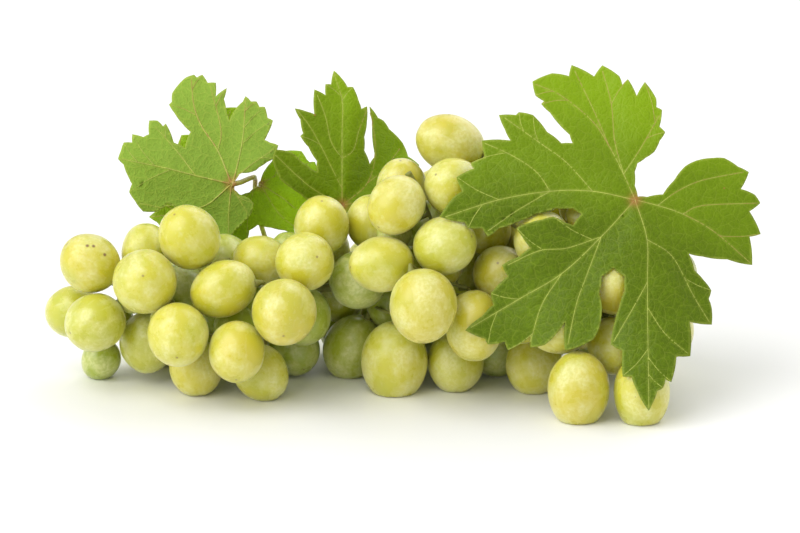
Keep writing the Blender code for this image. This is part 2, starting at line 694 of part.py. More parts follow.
def blade_mesh(name, leaf, things):
    """The blade: a thin plate cut to the outline, then bent into place."""
    blade = flat_slab(name, leaf["outline"])
    cutter = outline_cutter(name, leaf["outline"])
    trim = blade.modifiers.new("trim to outline", "BOOLEAN")
    trim.operation = "INTERSECT"
    trim.object = cutter
    trim.solver = "EXACT"
    graph = bpy.context.evaluated_depsgraph_get()
    mesh = bpy.data.meshes.new_from_object(blade.evaluated_get(graph))
    bpy.data.objects.remove(blade, do_unlink=True)
    bpy.data.objects.remove(cutter, do_unlink=True)
    bm = bmesh.new()
    bm.from_mesh(mesh)
    bmesh.ops.triangulate(bm, faces=bm.faces[:])
    bm.verts.index_update()
    lifts = drape_lifts(bm, leaf, things)
    for vert, lift in zip(bm.verts, lifts):
        place = blade_point(vert.co.x, vert.co.y, leaf)
        out = leaf["side"] * lift + vert.co.z
        vert.co = Vector((place + BLADE_OUT * out) * MM)
    bmesh.ops.recalc_face_normals(bm, faces=bm.faces[:])
    bm.to_mesh(mesh)
    bm.free()
    return mesh


def stalk_root(mesh, leaf):
    """The middle of the blade's thickness, just inside the notch where its stalk joins."""
    bm = bmesh.new()
    bm.from_mesh(mesh)
    tree = BVHTree.FromBMesh(bm)
    bm.free()
    guess = Vector(blade_point(*leaf["root"], leaf) * MM)
    surface, normal, _, _ = tree.find_nearest(guess)
    return np.array(surface - normal * BLADE_THICKNESS / 2.0 * MM) / MM


def build_leaf(name, leaf, parent, things):
    """One leaf, blade and stalk, as a single solid."""
    blade = add_object(name, blade_mesh(name, leaf, things), name, parent)
    path = on_polyline([stalk_root(blade.data, leaf)] + leaf["stalk"], LEAF_STALK_SECTION)
    radii = np.full(len(path), LEAF_STALK_RADIUS)
    radii[0] *= LEAF_STALK_ROOT
    stalk = bpy.data.objects.new(name + "_stalk", tube_mesh(name + "_stalk", path, radii, 1))
    bpy.context.scene.collection.objects.link(stalk)
    stalk.parent = parent
    hide_tool(stalk)
    join = blade.modifiers.new("join stalk", "BOOLEAN")
    join.operation = "UNION"
    join.object = stalk
    join.solver = "EXACT"
    blade.data.shade_smooth()


def centre_over_origin(bunch):
    """Slide the whole bunch level until its outer box is centred over the origin."""
    bpy.context.view_layer.update()
    graph = bpy.context.evaluated_depsgraph_get()
    corners = []
    pieces = [obj for obj in bunch.children if not obj.hide_render]
    for obj in pieces:
        evaluated = obj.evaluated_get(graph)
        corners.extend(evaluated.matrix_world @ vert.co for vert in evaluated.data.vertices)
    low_x = min(corner.x for corner in corners)
    high_x = max(corner.x for corner in corners)
    low_y = min(corner.y for corner in corners)
    high_y = max(corner.y for corner in corners)
    bunch.location.x -= (low_x + high_x) / 2.0
    bunch.location.y -= (low_y + high_y) / 2.0


def main():
    """Build the bunch: berries first, then the stalk and the leaves around them."""
    clear_scene()
    bunch = bpy.data.objects.new("bunch", None)
    bpy.context.scene.collection.objects.link(bunch)
    berries = settled_berries()
    build_berries(bunch, berries)
    twigs = twig_routes(berries)
    build_stalk(bunch, twigs)
    things = things_under_leaves(berries, twigs)
    for name, leaf in LEAVES.items():
        build_leaf(name, leaf, bunch, things)
    centre_over_origin(bunch)


main()
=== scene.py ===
"""A bunch of white table grapes on its side: berries, stalk and four vine leaves.

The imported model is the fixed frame. Every berry, the stalk and every leaf is made again
here as a fine piece in the place of its plain solid, and the berries that fill the gaps
of the bunch are added. Tables are millimetres, meshes are metres, +Z is up.
"""

import functools
import math
import random

import bmesh
import bpy
import numpy as np
from bpy.props import FloatProperty, FloatVectorProperty, IntProperty, PointerProperty
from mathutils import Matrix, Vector, noise
from mathutils.bvhtree import BVHTree


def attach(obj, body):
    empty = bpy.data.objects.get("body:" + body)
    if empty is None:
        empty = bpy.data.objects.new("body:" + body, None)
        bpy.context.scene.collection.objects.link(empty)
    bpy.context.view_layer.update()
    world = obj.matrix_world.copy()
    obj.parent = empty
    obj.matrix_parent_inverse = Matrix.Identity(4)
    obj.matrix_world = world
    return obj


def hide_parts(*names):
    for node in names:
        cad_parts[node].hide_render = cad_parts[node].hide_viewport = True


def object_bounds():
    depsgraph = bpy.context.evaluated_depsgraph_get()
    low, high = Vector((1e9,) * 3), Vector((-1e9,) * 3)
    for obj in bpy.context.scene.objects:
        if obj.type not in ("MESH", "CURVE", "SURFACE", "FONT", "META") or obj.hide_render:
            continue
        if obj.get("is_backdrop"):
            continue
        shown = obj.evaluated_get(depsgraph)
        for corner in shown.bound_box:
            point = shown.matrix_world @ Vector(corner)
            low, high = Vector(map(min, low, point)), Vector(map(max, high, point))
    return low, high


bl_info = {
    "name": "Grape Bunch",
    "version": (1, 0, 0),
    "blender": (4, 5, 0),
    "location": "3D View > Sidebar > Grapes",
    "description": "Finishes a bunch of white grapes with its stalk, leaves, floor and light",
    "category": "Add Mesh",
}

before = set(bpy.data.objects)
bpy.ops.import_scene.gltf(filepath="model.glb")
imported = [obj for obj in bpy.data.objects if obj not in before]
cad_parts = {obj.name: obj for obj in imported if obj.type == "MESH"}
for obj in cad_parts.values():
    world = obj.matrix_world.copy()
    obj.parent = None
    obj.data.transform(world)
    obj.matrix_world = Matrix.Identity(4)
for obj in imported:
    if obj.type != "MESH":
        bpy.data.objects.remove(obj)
CAD_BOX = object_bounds()

# Tables and named lengths are millimetres, settings, lights and meshes are metres
MM = 0.001
BODY = "root"
BERRY_NODES = sorted(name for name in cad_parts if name.startswith("berry_"))

# From the point that the tables below measure from to the middle of the bunch
TABLE_SHIFT = Vector((-0.05, -3.47, 0.0))

MERGE_GAP = 1e-6            # corners of a frame mesh nearer than this are one, in metres

# A berry's shape
BALL_PLACES = (-1.0, 0.0, 1.0)      # the balls that fill it, from one end to the other
BERRY_TAPER = 0.05          # the free end of a berry is this much slimmer
TAPER_BAND = (0.55, 0.30)   # where its two ends are compared: middle and half width
INNER_LONGER = 0.3          # half length of an added berry beyond its half width
DIMPLE_RADIUS = 1.5         # of the hollow at each end
UNEVEN_SCALE = 1.4          # bumps across a berry
UNEVEN_SPAN = 50.0          # how far apart two berries' bumps may be drawn from the noise
NEIGHBOUR_REACH = 40.0      # berries farther apart than this can't touch
FACE_GAP = 0.02             # how far each pressed face stays back from its neighbour

# How a berry's tone follows from its place: low, set back and inner berries are made greener
# and darker, partly as berries grown out of the sun are, partly as painted shade
SUN_AND_SHADE_HEIGHT = 80.0           # higher by this much counts as one step of sun, and of less painted shade
SUN_AND_SHADE_DEPTH = 50.0            # nearer the front by this much counts as one step too
SUN_AND_SHADE_INSIDE = 1.4            # steps that an added berry lacks: less sun, and painted shade deep inside
TONE_PER_SUN_AND_SHADE = 0.45
TONE_START = -0.15
TONE_CHANCE = 0.45          # how far chance moves it either way
# Berries riper or greener than their place in the bunch makes them
LISTED_TONES = {
    "berry_front_08": -1.0, "berry_front_09": -1.0, "berry_front_12": -0.35,
    "berry_foot_03": -0.7, "berry_foot_05": -0.3, "berry_tip_04": -1.0,
    "berry_top_08": 1.0, "berry_top_10": 1.0, "berry_front_14": 0.9, "berry_front_18": 1.0,
    "inner_33": 1.0,
}
# Brown spots on the skin: the way to each from the middle of its berry
BROWN_SPOTS = {
    "berry_tip_01": ((-0.3, -6.4, 8.3), (1.9, -6.2, 8.1), (5.9, -7.0, 5.2)),
}

# How the listed berries settle between the others
SETTLE_ROUNDS = 160
SETTLE_PART = 0.45          # share of each push that a berry follows
HOME_PULL = 0.04            # share of its way back to the listed place
TWIG_DEPTH = 0.6            # a twig keeps this share of the radius from the centre
TWIG_PUSH = 0.5             # share of what is lacking that one twig point gives
FLOOR_HOLD = 0.98           # lowest centre above the floor, as a share of the radius
GAPS_SPARED = 1.5           # a berry this many gaps too close need not shrink
INNER_GAP = 0.25            # between a berry and its neighbours
LEAF_GAP = 0.9              # between a berry and a blade
BLADE_REACH = 40.0          # how far off a blade still counts
SMALLEST_INNER = 0.62       # how far a berry squeezed between others may shrink
FARTHEST_PUSH = 9.0         # a berry that would be pushed farther than this is left out

# How the berries deep inside are placed
FILL_STEP = 3.0             # spacing of the places tried
FILL_SIZES = (5.6, 10.0)    # their smallest and largest radius
FILL_SPREAD = 33.0          # how far from the main stalk they may lie
FILL_LEVEL = Vector((0.0, 13.0, 33.0))      # the depth and height of the main stalk
FILL_BOX = ((-104.0, 98.0), (-8.0, 34.0), (9.0, 60.0))      # where they are tried
FILL_SLACK = 0.5            # how much smaller a blade may make one
TWIG_ROOM = 4.5             # how deep a twig may lie in one
# The ways in which a place is looked at for shelter, the ones that must be shut first
SHELTER = [Vector(way).normalized() for way in (
    (0, -0.95, 0.29), (0, 0, 1), (-1, -0.3, 0), (1, -0.3, 0), (0, -0.8, 0.8), (-0.7, -0.7, 0.2),
    (0.7, -0.7, 0.2), (-0.6, 0, 0.8), (0.6, 0, 0.8))]
SHELTER_SHUT = 2            # how many of the ways must be shut
SHELTER_OPEN = 2            # how many of the others may be open
SHELTER_REACH = 46.0        # how far off a berry or blade still shelters a place

# Berries that fill the bunch: x, y, z of the centre, then the width
INNER_BERRIES = [
    (-60, 21, 42, 20), (-77, 10, 35, 19), (13, 12, 61, 19), (-34, 14, 9, 20),
    (-7, 15, 23, 18), (-20, 25, 21, 18), (33, 8, 10, 20), (25, 15, 36, 18),
    (38, 10, 76, 18), (92, -8, 44, 20), (47, -18, 38, 20), (43, -10, 24, 20),
    (-79, 30, 32, 19), (-32, 36, 31, 20), (12, 40, 38, 20), (56, 36, 38, 20),
    (94, 16, 36, 20), (-65, 28, 11, 20), (-20, 36, 11, 20), (26, 34, 11, 20),
    (71, 24, 11, 19), (14, 30, 62, 20), (54, 28, 60, 19), (72, 20, 58, 19),
    (-72, 6, 22, 18), (70, 8, 20, 18), (-2, 26, 48, 18), (-20, 21, 47, 17), (-99, 13, 22, 13),
    (43, 12, 52, 16), (30, 20, 34, 18), (-19, 32, 44, 14), (64, -8, 65, 12),
]

# Leaf outlines, in the plane of the blade, x to the right and y up from the point where
# the leaf stalk joins: the tips, the notches and the bends between them.
FRONT_OUTLINE = [
    (0, 5), (0, 10), (1, 13), (4, 15), (7, 17), (9, 21), (11, 24), (9, 26), (10, 32),
    (8, 33), (8, 36), (4, 42), (1, 37), (-2, 43), (-4, 41), (-5, 44), (-11, 48),
    (-14, 44), (-22, 48), (-23, 44), (-29, 45), (-36, 42), (-35, 37), (-32, 35),
    (-33, 34), (-30, 31), (-23, 23), (-22, 20), (-26, 20), (-31, 24), (-36, 30),
    (-41, 31), (-42, 30), (-48, 30), (-46, 25), (-44, 21), (-54, 21), (-53, 15),
    (-58, 13), (-57, 11), (-63, 8), (-61, 3), (-64, 1), (-69, -6), (-60, -8),
    (-59, -10), (-54, -10), (-52, -13), (-48, -10), (-42, -8), (-35, -5), (-28, -3),
    (-22, -3), (-19, -5), (-22, -9), (-25, -8), (-29, -6), (-33, -7), (-37, -8),
    (-42, -10), (-40, -13), (-37, -17), (-41, -20), (-47, -23), (-45, -27), (-51, -33),
    (-50, -37), (-54, -41), (-60, -46), (-53, -49), (-52, -51), (-46, -50), (-45, -53),
    (-41, -51), (-37, -48), (-37, -52), (-32, -51), (-28, -47), (-25, -43), (-25, -53),
    (-21, -52), (-15, -49), (-13, -45), (-12, -38), (-13, -33), (-12, -27), (-8, -24),
    (-4, -27), (-4, -32), (-6, -38), (-8, -45), (-9, -51), (-5, -53), (-5, -62),
    (-2, -62), (0, -67), (4, -74), (5, -72), (7, -67), (9, -66), (10, -63), (12, -64),
    (14, -55), (19, -55), (19, -43), (27, -44), (27, -38), (26, -35), (27, -32),
    (24, -28), (21, -25), (19, -19), (24, -20), (33, -21), (42, -23), (41, -13),
    (45, -12), (41, -4), (45, -1), (43, 2), (38, 4), (41, 10), (37, 12), (32, 15),
    (28, 15), (22, 14), (18, 12), (14, 7), (10, 2), (4, 1), (1, 1),
]
BACK_LEFT_OUTLINE = [
    (1, 1), (3, 4), (6, 4), (9, 5), (10, 6), (13, 8), (15, 9), (17, 14), (14, 15),
    (12, 16), (13, 18), (15, 23), (13, 24), (12, 28), (10, 28), (9, 30), (7, 30),
    (5, 32), (4, 30), (1, 27), (-1, 23), (-2, 26), (-3, 31), (-2, 35), (-6, 32),
    (-6, 37), (-9, 37), (-11, 40), (-13, 39), (-14, 40), (-17, 39), (-20, 36),
    (-22, 33), (-22, 30), (-23, 29), (-21, 26), (-18, 22), (-15, 19), (-16, 17),
    (-17, 13), (-21, 15), (-24, 22), (-25, 21), (-27, 23), (-30, 23), (-30, 18),
    (-32, 17), (-36, 18), (-36, 15), (-39, 15), (-40, 12), (-41, 9), (-39, 7),
    (-37, 2), (-36, 0), (-37, -3), (-35, -6), (-32, -10), (-27, -10), (-23, -7),
    (-20, -8), (-17, -14), (-11, -18), (-2, -22), (1, -17), (4, -14), (7, -11),
    (8, -7), (6, -5), (3, -4), (1, -2),
]
BACK_LOW_OUTLINE = [
    (0, 1), (1, 4), (4, 8), (8, 12), (15, 12), (17, 9), (18, 8), (20, 8), (21, 5),
    (26, -2), (28, -11), (22, -14), (17, -19), (14, -19), (9, -17), (4, -16),
    (-1, -15), (-4, -17), (-5, -21), (-12, -21), (-19, -20), (-26, -19), (-35, -17),
    (-38, -14), (-41, -12), (-37, -9), (-39, -4), (-35, 5), (-31, 12), (-29, 18),
    (-25, 18), (-22, 16), (-19, 23), (-13, 28), (-8, 28), (-8, 24), (-6, 16),
    (-11, 9), (-12, 1), (-11, -3), (-7, -4), (-4, -3), (-3, -2), (0, -1),
]
BACK_CENTRE_OUTLINE = [
    (-1, 1), (-13, 2), (-15, 4), (-18, 6), (-22, 9), (-25, 16), (-24, 20), (-18, 19),
    (-15, 16), (-11, 13), (-9, 12), (-9, 16), (-12, 21), (-15, 25), (-14, 26),
    (-15, 31), (-17, 35), (-13, 34), (-10, 33), (-10, 42), (-6, 40), (-6, 44),
    (-4, 44), (-3, 49), (0, 46), (2, 43), (4, 43), (6, 38), (7, 35), (9, 36), (9, 31),
    (8, 25), (8, 20), (10, 15), (12, 18), (11, 31), (10, 36), (13, 32), (15, 31),
    (17, 28), (22, 23), (24, 18), (28, 15), (28, 13), (23, 5), (16, 0), (9, -3),
    (3, -4), (1, -2),
]

# Each leaf: its outline, where blade and stalk meet, the steepness of each lobe by its
# direction in degrees, the curl of its edges, whether the paler underside faces the
# front, the way towards the lobes that get painted light (the hub and the far side get
# painted shade), how far its colours are brightened as painted light against the shade
# it lies in, its main veins (root width, then the points), and the way of its stalk.
LEAVES = {
    "leaf_front": {
        "outline": FRONT_OUTLINE,
        "joint": (83, -15, 74),
        "slopes": [(20, -0.25), (100, -0.22), (150, 0.02), (185, 0.05), (220, 0.02),
                   (275, 0.20), (335, -0.15)],
        "curl": -0.0010,
        "underside_front": False,
        "painted_light_side": (0.25, 0.95),
        "painted_brightness": 1.0,
        "veins": [
            (0.60, [(0, 0), (-4, 9), (-9, 19), (-15, 28), (-26, 37), (-35, 41)]),
            (0.32, [(-4, 9), (-7, 21), (-8, 34), (-11, 46)]),
            (0.32, [(-4, 9), (2, 18), (9, 30)]),
            (0.28, [(-9, 19), (-14, 31), (-21, 46)]),
            (0.60, [(0, 0), (-15, 3), (-30, 3), (-48, 0), (-67, -6)]),
            (0.38, [(-15, 3), (-24, 13), (-32, 19), (-46, 29)]),
            (0.32, [(-30, 3), (-35, 10), (-44, 16), (-53, 20)]),
            (0.26, [(-30, 3), (-42, -4), (-52, -11)]),
            (0.58, [(0, 0), (-12, -13), (-26, -26), (-41, -35), (-58, -45)]),
            (0.34, [(-12, -13), (-24, -17), (-34, -18), (-45, -23)]),
            (0.32, [(-12, -13), (-17, -26), (-21, -37), (-24, -51)]),
            (0.28, [(-26, -26), (-33, -37), (-37, -50)]),
            (0.60, [(0, 0), (4, -14), (4, -29), (4, -51), (4, -73)]),
            (0.36, [(4, -14), (13, -20), (20, -33), (26, -43)]),
            (0.28, [(4, -29), (-1, -38), (-8, -50)]),
            (0.28, [(4, -38), (10, -47), (18, -54)]),
            (0.52, [(0, 0), (8, -2), (17, -5), (28, -11), (41, -22)]),
            (0.34, [(8, -2), (15, 3), (24, 7), (39, 10)]),
            (0.30, [(17, -5), (24, -2), (44, -1)]),
        ],
        "stalk": [(83, -8, 72), (87, 0, 70), (92, 8, 66), (99, 13, 60), (102, 14.5, 57)],
    },
    "leaf_back_left": {
        "outline": BACK_LEFT_OUTLINE,
        "joint": (-61, 33, 66),
        "slopes": [(30, 0.10), (110, -0.20), (170, 0.12), (250, -0.02), (320, 0.0)],
        "curl": -0.0015,
        "underside_front": True,
        "painted_light_side": (-0.4, 0.3),
        "painted_brightness": 1.0,
        "veins": [
            (0.55, [(0, 0), (-5, 12), (-11, 21), (-14, 29), (-15, 39)]),
            (0.30, [(-5, 12), (-4, 20), (-8, 36)]),
            (0.52, [(0, 0), (-13, 3), (-25, 6), (-40, 9)]),
            (0.32, [(-13, 3), (-20, 12), (-28, 21)]),
            (0.44, [(0, 0), (-10, -8), (-22, -9), (-33, -7)]),
            (0.50, [(0, 0), (1, 2), (4, 16), (5, 31)]),
            (0.36, [(0, 0), (6, 6), (16, 13)]),
            (0.40, [(0, 0), (-1, -10), (-1, -21)]),
            (0.30, [(0, 0), (3, -6), (6, -11)]),
        ],
        "stalk": [(-58, 35, 66), (-54, 43, 65.5), (-53, 50, 63), (-53, 53, 56),
                  (-51, 50, 46), (-47, 40, 37), (-44, 28, 34), (-42, 17.5, 32.5)],
    },
    "leaf_back_low": {
        "outline": BACK_LOW_OUTLINE,
        "joint": (-51, 47, 62),
        "slopes": [(0, 0.12), (90, -0.15), (180, -0.15), (270, -0.05)],
        "curl": 0.0,
        "underside_front": False,
        "painted_light_side": (0.5, 0.5),
        # painted light: this leaf lies in shade behind the others, so its colours are brightened
        "painted_brightness": 2.3,
        "veins": [
            (0.50, [(0, 0), (8, -5), (15, -10), (27, -11)]),
            (0.42, [(0, 0), (8, 4), (19, 8)]),
            (0.40, [(0, 0), (7, -11), (16, -18)]),
            (0.46, [(0, 0), (-12, -9), (-24, -10), (-40, -12)]),
            (0.34, [(-12, -9), (-16, -15), (-18, -20)]),
            (0.36, [(-18, -9), (-25, 0), (-31, 14)]),
            (0.32, [(-12, -5), (-16, 6), (-14, 17), (-11, 27)]),
        ],
        "stalk": [(-48, 50, 60), (-41, 50, 52), (-34, 44, 42), (-29, 32, 36),
                  (-27, 20.5, 33.5)],
    },
    "leaf_back_centre": {
        "outline": BACK_CENTRE_OUTLINE,
        "joint": (-21, 33, 58),
        "slopes": [(90, -0.05), (40, -0.55), (150, 0.35), (240, 0.0), (300, 0.0)],
        "curl": 0.0,
        "underside_front": False,
        "painted_light_side": (0.7, 0.6),
        "painted_brightness": 1.05,
        "veins": [
            (0.60, [(0, 0), (0, 13), (0, 26), (0, 38), (-3, 48)]),
            (0.34, [(0, 6), (-4, 14), (-8, 22), (-12, 29), (-16, 34)]),
            (0.34, [(0, 17), (4, 20), (6, 27), (9, 35)]),
            (0.30, [(0, 17), (-4, 23), (-6, 32), (-9, 40)]),
            (0.40, [(0, 0), (-12, 7), (-24, 18)]),
            (0.44, [(0, 0), (9, 8), (12, 20), (10, 34)]),
            (0.34, [(9, 8), (15, 13), (21, 21)]),
            (0.32, [(0, 0), (12, 2), (23, 7)]),
        ],
        "stalk": [(-21, 34, 54), (-20, 32, 46), (-18, 26, 39), (-16, 20, 36)],
    },
}
LEAF_LEAN = math.radians(17)
BLADE_RIGHT = Vector((1.0, 0.0, 0.0))
BLADE_UP = Vector((0.0, math.sin(LEAF_LEAN), math.cos(LEAF_LEAN)))
BLADE_OUT = Vector((0.0, -math.cos(LEAF_LEAN), math.sin(LEAF_LEAN)))
CAD_BLADE_THICKNESS = 0.9

# The stalk, its warts and pedicels
STALK_CUT_END = ((115, 20, 62), (107, 18, 56))      # its middle, and a point inwards
CUT_DEPTH = 0.5             # of the stalk's end that shows fresh wood
CUT_RADIUS = 2.6
WOODY_LENGTH = 60.0         # how far from the cut the bark is woody
FOOT_PATCH = 0.9            # stalk this near to the nearest point makes a berry's foot
WART_ROOT = 1.2             # how deep a wart stands in the stalk
WART_SINK = 0.2             # how deep it reaches into the skin
WART_NECK = 0.8             # its neck's share of its radius, and its height in millimetres
TWIG_SAMPLES = 12           # places along a pedicel that are tested against the berries
TWIGS_TRIED = 240           # how many of the nearest stalk points a pedicel may go to
TWIGS_SKIPPED = 8           # one in this many of them is tried
BETTER_BY = 0.05            # a farther point has to be better by this

# A blade's edge and its side veins
TOOTH_BOW = 0.035           # outward bow of a tooth's side, as a share of its length
EDGE_STEP = 1.3             # spacing of the edge's points
SMALLEST_EDGE = 0.05        # points of a flat blade nearer than this become one
TOOTH_TURN = 38.0           # the outline turns by more degrees than this at a tooth's tip
VEIN_STEP = 1.2             # spacing of a vein's points
BRANCH_STEP = 1.5           # spacing of the places where a side vein may start
TIP_SERVED = 3.5            # a tooth this near to a main vein's end needs no side vein
BRANCH_LENGTHS = (3.0, 26.0)    # shortest and longest side vein
BRANCH_ANGLE = 42.0         # usual turn of a side vein from its main vein, in degrees
BRANCH_WIDTH = (0.75, 0.30)     # its share of the main vein's width, and the widest
BRANCH_COSTS = (30.0, 16.0)     # degrees off that angle, and millimetres, that cost one
BRANCH_BEND = (0.45, 0.06)  # how far along it bends, and how much, as shares of its length
BRANCH_STOP = 0.96          # how far along its way to the tooth's tip it ends
SNAP_REACH = 0.46           # points this near to a vein slide onto it, in cells

# The ribs and fine lines of the veins, and a leaf's own stalk
VEIN_TAPER = 0.74           # how much slimmer a vein ends than it starts
RIB_PROUD = 0.15            # how far a rib's middle stands out of the blade, in radii
THREAD_SHARE = 0.72         # the fine line's radius, as a share of the rib's
THREAD_LEAST = 0.13         # its smallest radius
THREAD_PROUD = 0.05         # how far it stands out of the upper side
LEAF_STALK_STEP = 1.5       # spacing of the stalk's points
LEAF_STALK_SLIM = 0.86      # its middle's share of its radius
LEAF_STALK_ENDS = (0.25, 0.5)   # how much it swells at the blade and at the main stalk
SWELL_FADE = 2.5            # number of points over which a swelling fades
FLUSH_HUB = (0.85, 5.0)     # how red the hub is, and how far that reaches
FLUSH_STALK = (0.55, 3.0)   # how red the stalk is, and how far behind the hub it starts

# How a blade bends, and where its colour changes
REACH_START = 0.4           # share of its reach that a vein has before its width adds to it
CREASE_REACH = (7.0, 5.0)   # how far a main vein, and a side vein, folds the blade
SIDE_CREASE = 0.45          # how strong a side vein's fold is beside a main vein's
GLOW_REACH = (1.5, 1.3)     # how far each makes it paler
SIDE_GLOW = 0.75
RIM_REACH = 1.4
HUB_RADIUS = 2.2
PAINTED_LIGHT_AT_HUB = 0.35           # painted light at the hub, low enough to leave it in painted shade
PAINTED_LIGHT_LENGTH = 55.0          # distance towards the lit side that adds 1 to the painted light
RIPPLE_SCALE = 0.11         # waves per millimetre
RIPPLE_HEIGHT = 0.55
QUILT_SCALE = 0.34
QUILT_HEIGHT = 0.20
UV_PER_MM = 0.01
STRAY_LIFT = 30.0           # a lift this far from the middle one is a miss
LIFT_ROUNDS = 60            # of spreading the lifts to points with none, and smoothing


# ---------------------------------------------------------------------------
# Settings
# ---------------------------------------------------------------------------

class GrapeBerrySettings(bpy.types.PropertyGroup):
    """The berries' skin and shape."""

    fineness: IntProperty(
        name="Fineness", description="Subdivisions of each berry's sphere", default=5, min=2, max=6)
    ripe: FloatVectorProperty(
        name="Ripe", description="Skin of a ripe berry", subtype="COLOR", size=3,
        default=(0.60, 0.565, 0.030), min=0.0, max=1.0)
    amber: FloatVectorProperty(
        name="Amber", description="Skin on the sunny side", subtype="COLOR", size=3,
        default=(0.60, 0.48, 0.020), min=0.0, max=1.0)
    young: FloatVectorProperty(
        name="Young", description="Skin of a greener berry", subtype="COLOR", size=3,
        default=(0.36, 0.44, 0.035), min=0.0, max=1.0)
    bloom: FloatVectorProperty(
        name="Bloom", description="The wax that dusts the skin", subtype="COLOR", size=3,
        default=(0.86, 0.85, 0.46), min=0.0, max=1.0)
    scar: FloatVectorProperty(
        name="Scar", description="The dry scar at the free end, and specks", subtype="COLOR",
        size=3, default=(0.22, 0.12, 0.03), min=0.0, max=1.0)
    plump: FloatProperty(
        name="Plumpness", description="How much the skins swell against each other",
        default=1.03, min=0.9, max=1.1)
    dimple: FloatProperty(
        name="Dimple", description="Depth of the hollow at the free end", default=0.25 * MM,
        unit="LENGTH", min=0.0, max=0.002)
    uneven: FloatProperty(
        name="Unevenness", description="How far the skin strays from a smooth egg",
        default=0.22 * MM, unit="LENGTH", min=0.0, max=0.002)


class GrapeStalkSettings(bpy.types.PropertyGroup):
    """The branched stalk."""

    detail: FloatProperty(
        name="Detail", description="Size of the finest stalk detail", default=0.42 * MM,
        unit="LENGTH", min=0.0002, max=0.002)
    wart: FloatProperty(
        name="Wart", description="Radius of the wart that holds a berry", default=1.75 * MM,
        unit="LENGTH", min=0.001, max=0.004)
    pedicel: FloatProperty(
        name="Pedicel", description="Radius of a berry's own stalk", default=0.8 * MM,
        unit="LENGTH", min=0.0003, max=0.003)
    green: FloatVectorProperty(
        name="Green", description="Young bark", subtype="COLOR", size=3,
        default=(0.24, 0.27, 0.06), min=0.0, max=1.0)
    woody: FloatVectorProperty(
        name="Woody", description="Older bark and warts", subtype="COLOR", size=3,
        default=(0.22, 0.12, 0.035), min=0.0, max=1.0)
    pith: FloatVectorProperty(
        name="Pith", description="Fresh wood at the cut", subtype="COLOR", size=3,
        default=(0.62, 0.54, 0.27), min=0.0, max=1.0)


class GrapeLeafSettings(bpy.types.PropertyGroup):
    """The vine leaves."""

    cell: FloatProperty(
        name="Cell", description="Spacing of the blade's points", default=1.0 * MM,
        unit="LENGTH", min=0.0005, max=0.005)
    thickness: FloatProperty(
        name="Thickness", description="Thickness of a blade", default=0.30 * MM,
        unit="LENGTH", min=0.0001, max=0.001)
    stalk: FloatProperty(
        name="Stalk", description="Radius of a leaf's stalk", default=1.05 * MM,
        unit="LENGTH", min=0.0005, max=0.003)
    rib: FloatProperty(
        name="Rib", description="Radius of a rib for each millimetre of its vein's width",
        default=0.62 * MM, unit="LENGTH", min=0.0002, max=0.002)
    crease: FloatProperty(
        name="Crease", description="How deep the blade folds in along its veins",
        default=0.45 * MM, unit="LENGTH", min=0.0, max=0.002)
    upper: FloatVectorProperty(
        name="Upper side", description="Colour of the upper side", subtype="COLOR", size=3,
        default=(0.138, 0.228, 0.002), min=0.0, max=1.0)
    under: FloatVectorProperty(
        name="Underside", description="Colour of the underside", subtype="COLOR", size=3,
        default=(0.200, 0.320, 0.035), min=0.0, max=1.0)
    vein: FloatVectorProperty(
        name="Vein", description="Colour of the veins", subtype="COLOR", size=3,
        default=(0.44, 0.50, 0.08), min=0.0, max=1.0)
    blush: FloatVectorProperty(
        name="Blush", description="Leaf stalks and the hub of the veins", subtype="COLOR",
        size=3, default=(0.42, 0.13, 0.06), min=0.0, max=1.0)


class GrapeStageSettings(bpy.types.PropertyGroup):
    """Floor, light and camera."""

    floor_size: FloatProperty(
        name="Floor size", description="Width of the floor", default=12.0, unit="LENGTH")
    floor: FloatVectorProperty(
        name="Floor", description="Colour of the floor", subtype="COLOR", size=3,
        default=(0.90, 0.90, 0.89), min=0.0, max=1.0)
    sky_light: FloatProperty(
        name="Surround", description="Strength of the white surround", default=0.66)
    key_light: FloatProperty(
        name="Key light", description="Power of the large soft light", default=42.0,
        unit="POWER")
    lens: FloatProperty(
        name="Lens", description="Focal length of the camera", default=225.0, unit="CAMERA")
    distance: FloatProperty(
        name="Distance", description="From the camera to the bunch", default=1.8,
        unit="LENGTH")
    elevation: FloatProperty(
        name="Elevation", description="How far the camera looks down",
        default=math.radians(17.0), subtype="ANGLE", unit="ROTATION")
    target: FloatVectorProperty(
        name="Target", description="The point that the camera looks at",
        default=(0.0, 0.00903, 0.041), subtype="TRANSLATION", unit="LENGTH")


# ---------------------------------------------------------------------------
# Node and mesh helpers
# ---------------------------------------------------------------------------

def new_material(name):
    """An empty material: its tree and its Principled shader."""
    mat = bpy.data.materials.new(name)
    mat.use_nodes = True
    return mat, mat.node_tree, mat.node_tree.nodes["Principled BSDF"]


def put(tree, kind, inputs, **settings):
    """A node with its settings, and each input either linked or given its value."""
    node = tree.nodes.new(kind)
    for name, value in settings.items():
        setattr(node, name, value)
    for key, value in inputs.items():
        wire(tree, node.inputs[key], value)
    return node


def wire(tree, socket, value):
    """Link a socket to another, or set its own value."""
    if isinstance(value, bpy.types.NodeSocket):
        tree.links.new(value, socket)
    else:
        socket.default_value = value


def mixed(tree, factor, low, high):
    """A colour between two others."""
    inputs = {0: factor, 6: solid(low), 7: solid(high)}
    return put(tree, "ShaderNodeMix", inputs, data_type="RGBA").outputs[2]


def solid(colour):
    """A colour with its alpha, or a socket as it is."""
    return colour if isinstance(colour, bpy.types.NodeSocket) else (*colour, 1.0)


def calc(tree, operation, first, second=0.0):
    """One step of arithmetic, held between 0 and 1."""
    node = put(tree, "ShaderNodeMath", {0: first, 1: second}, operation=operation)
    node.use_clamp = True
    return node.outputs[0]


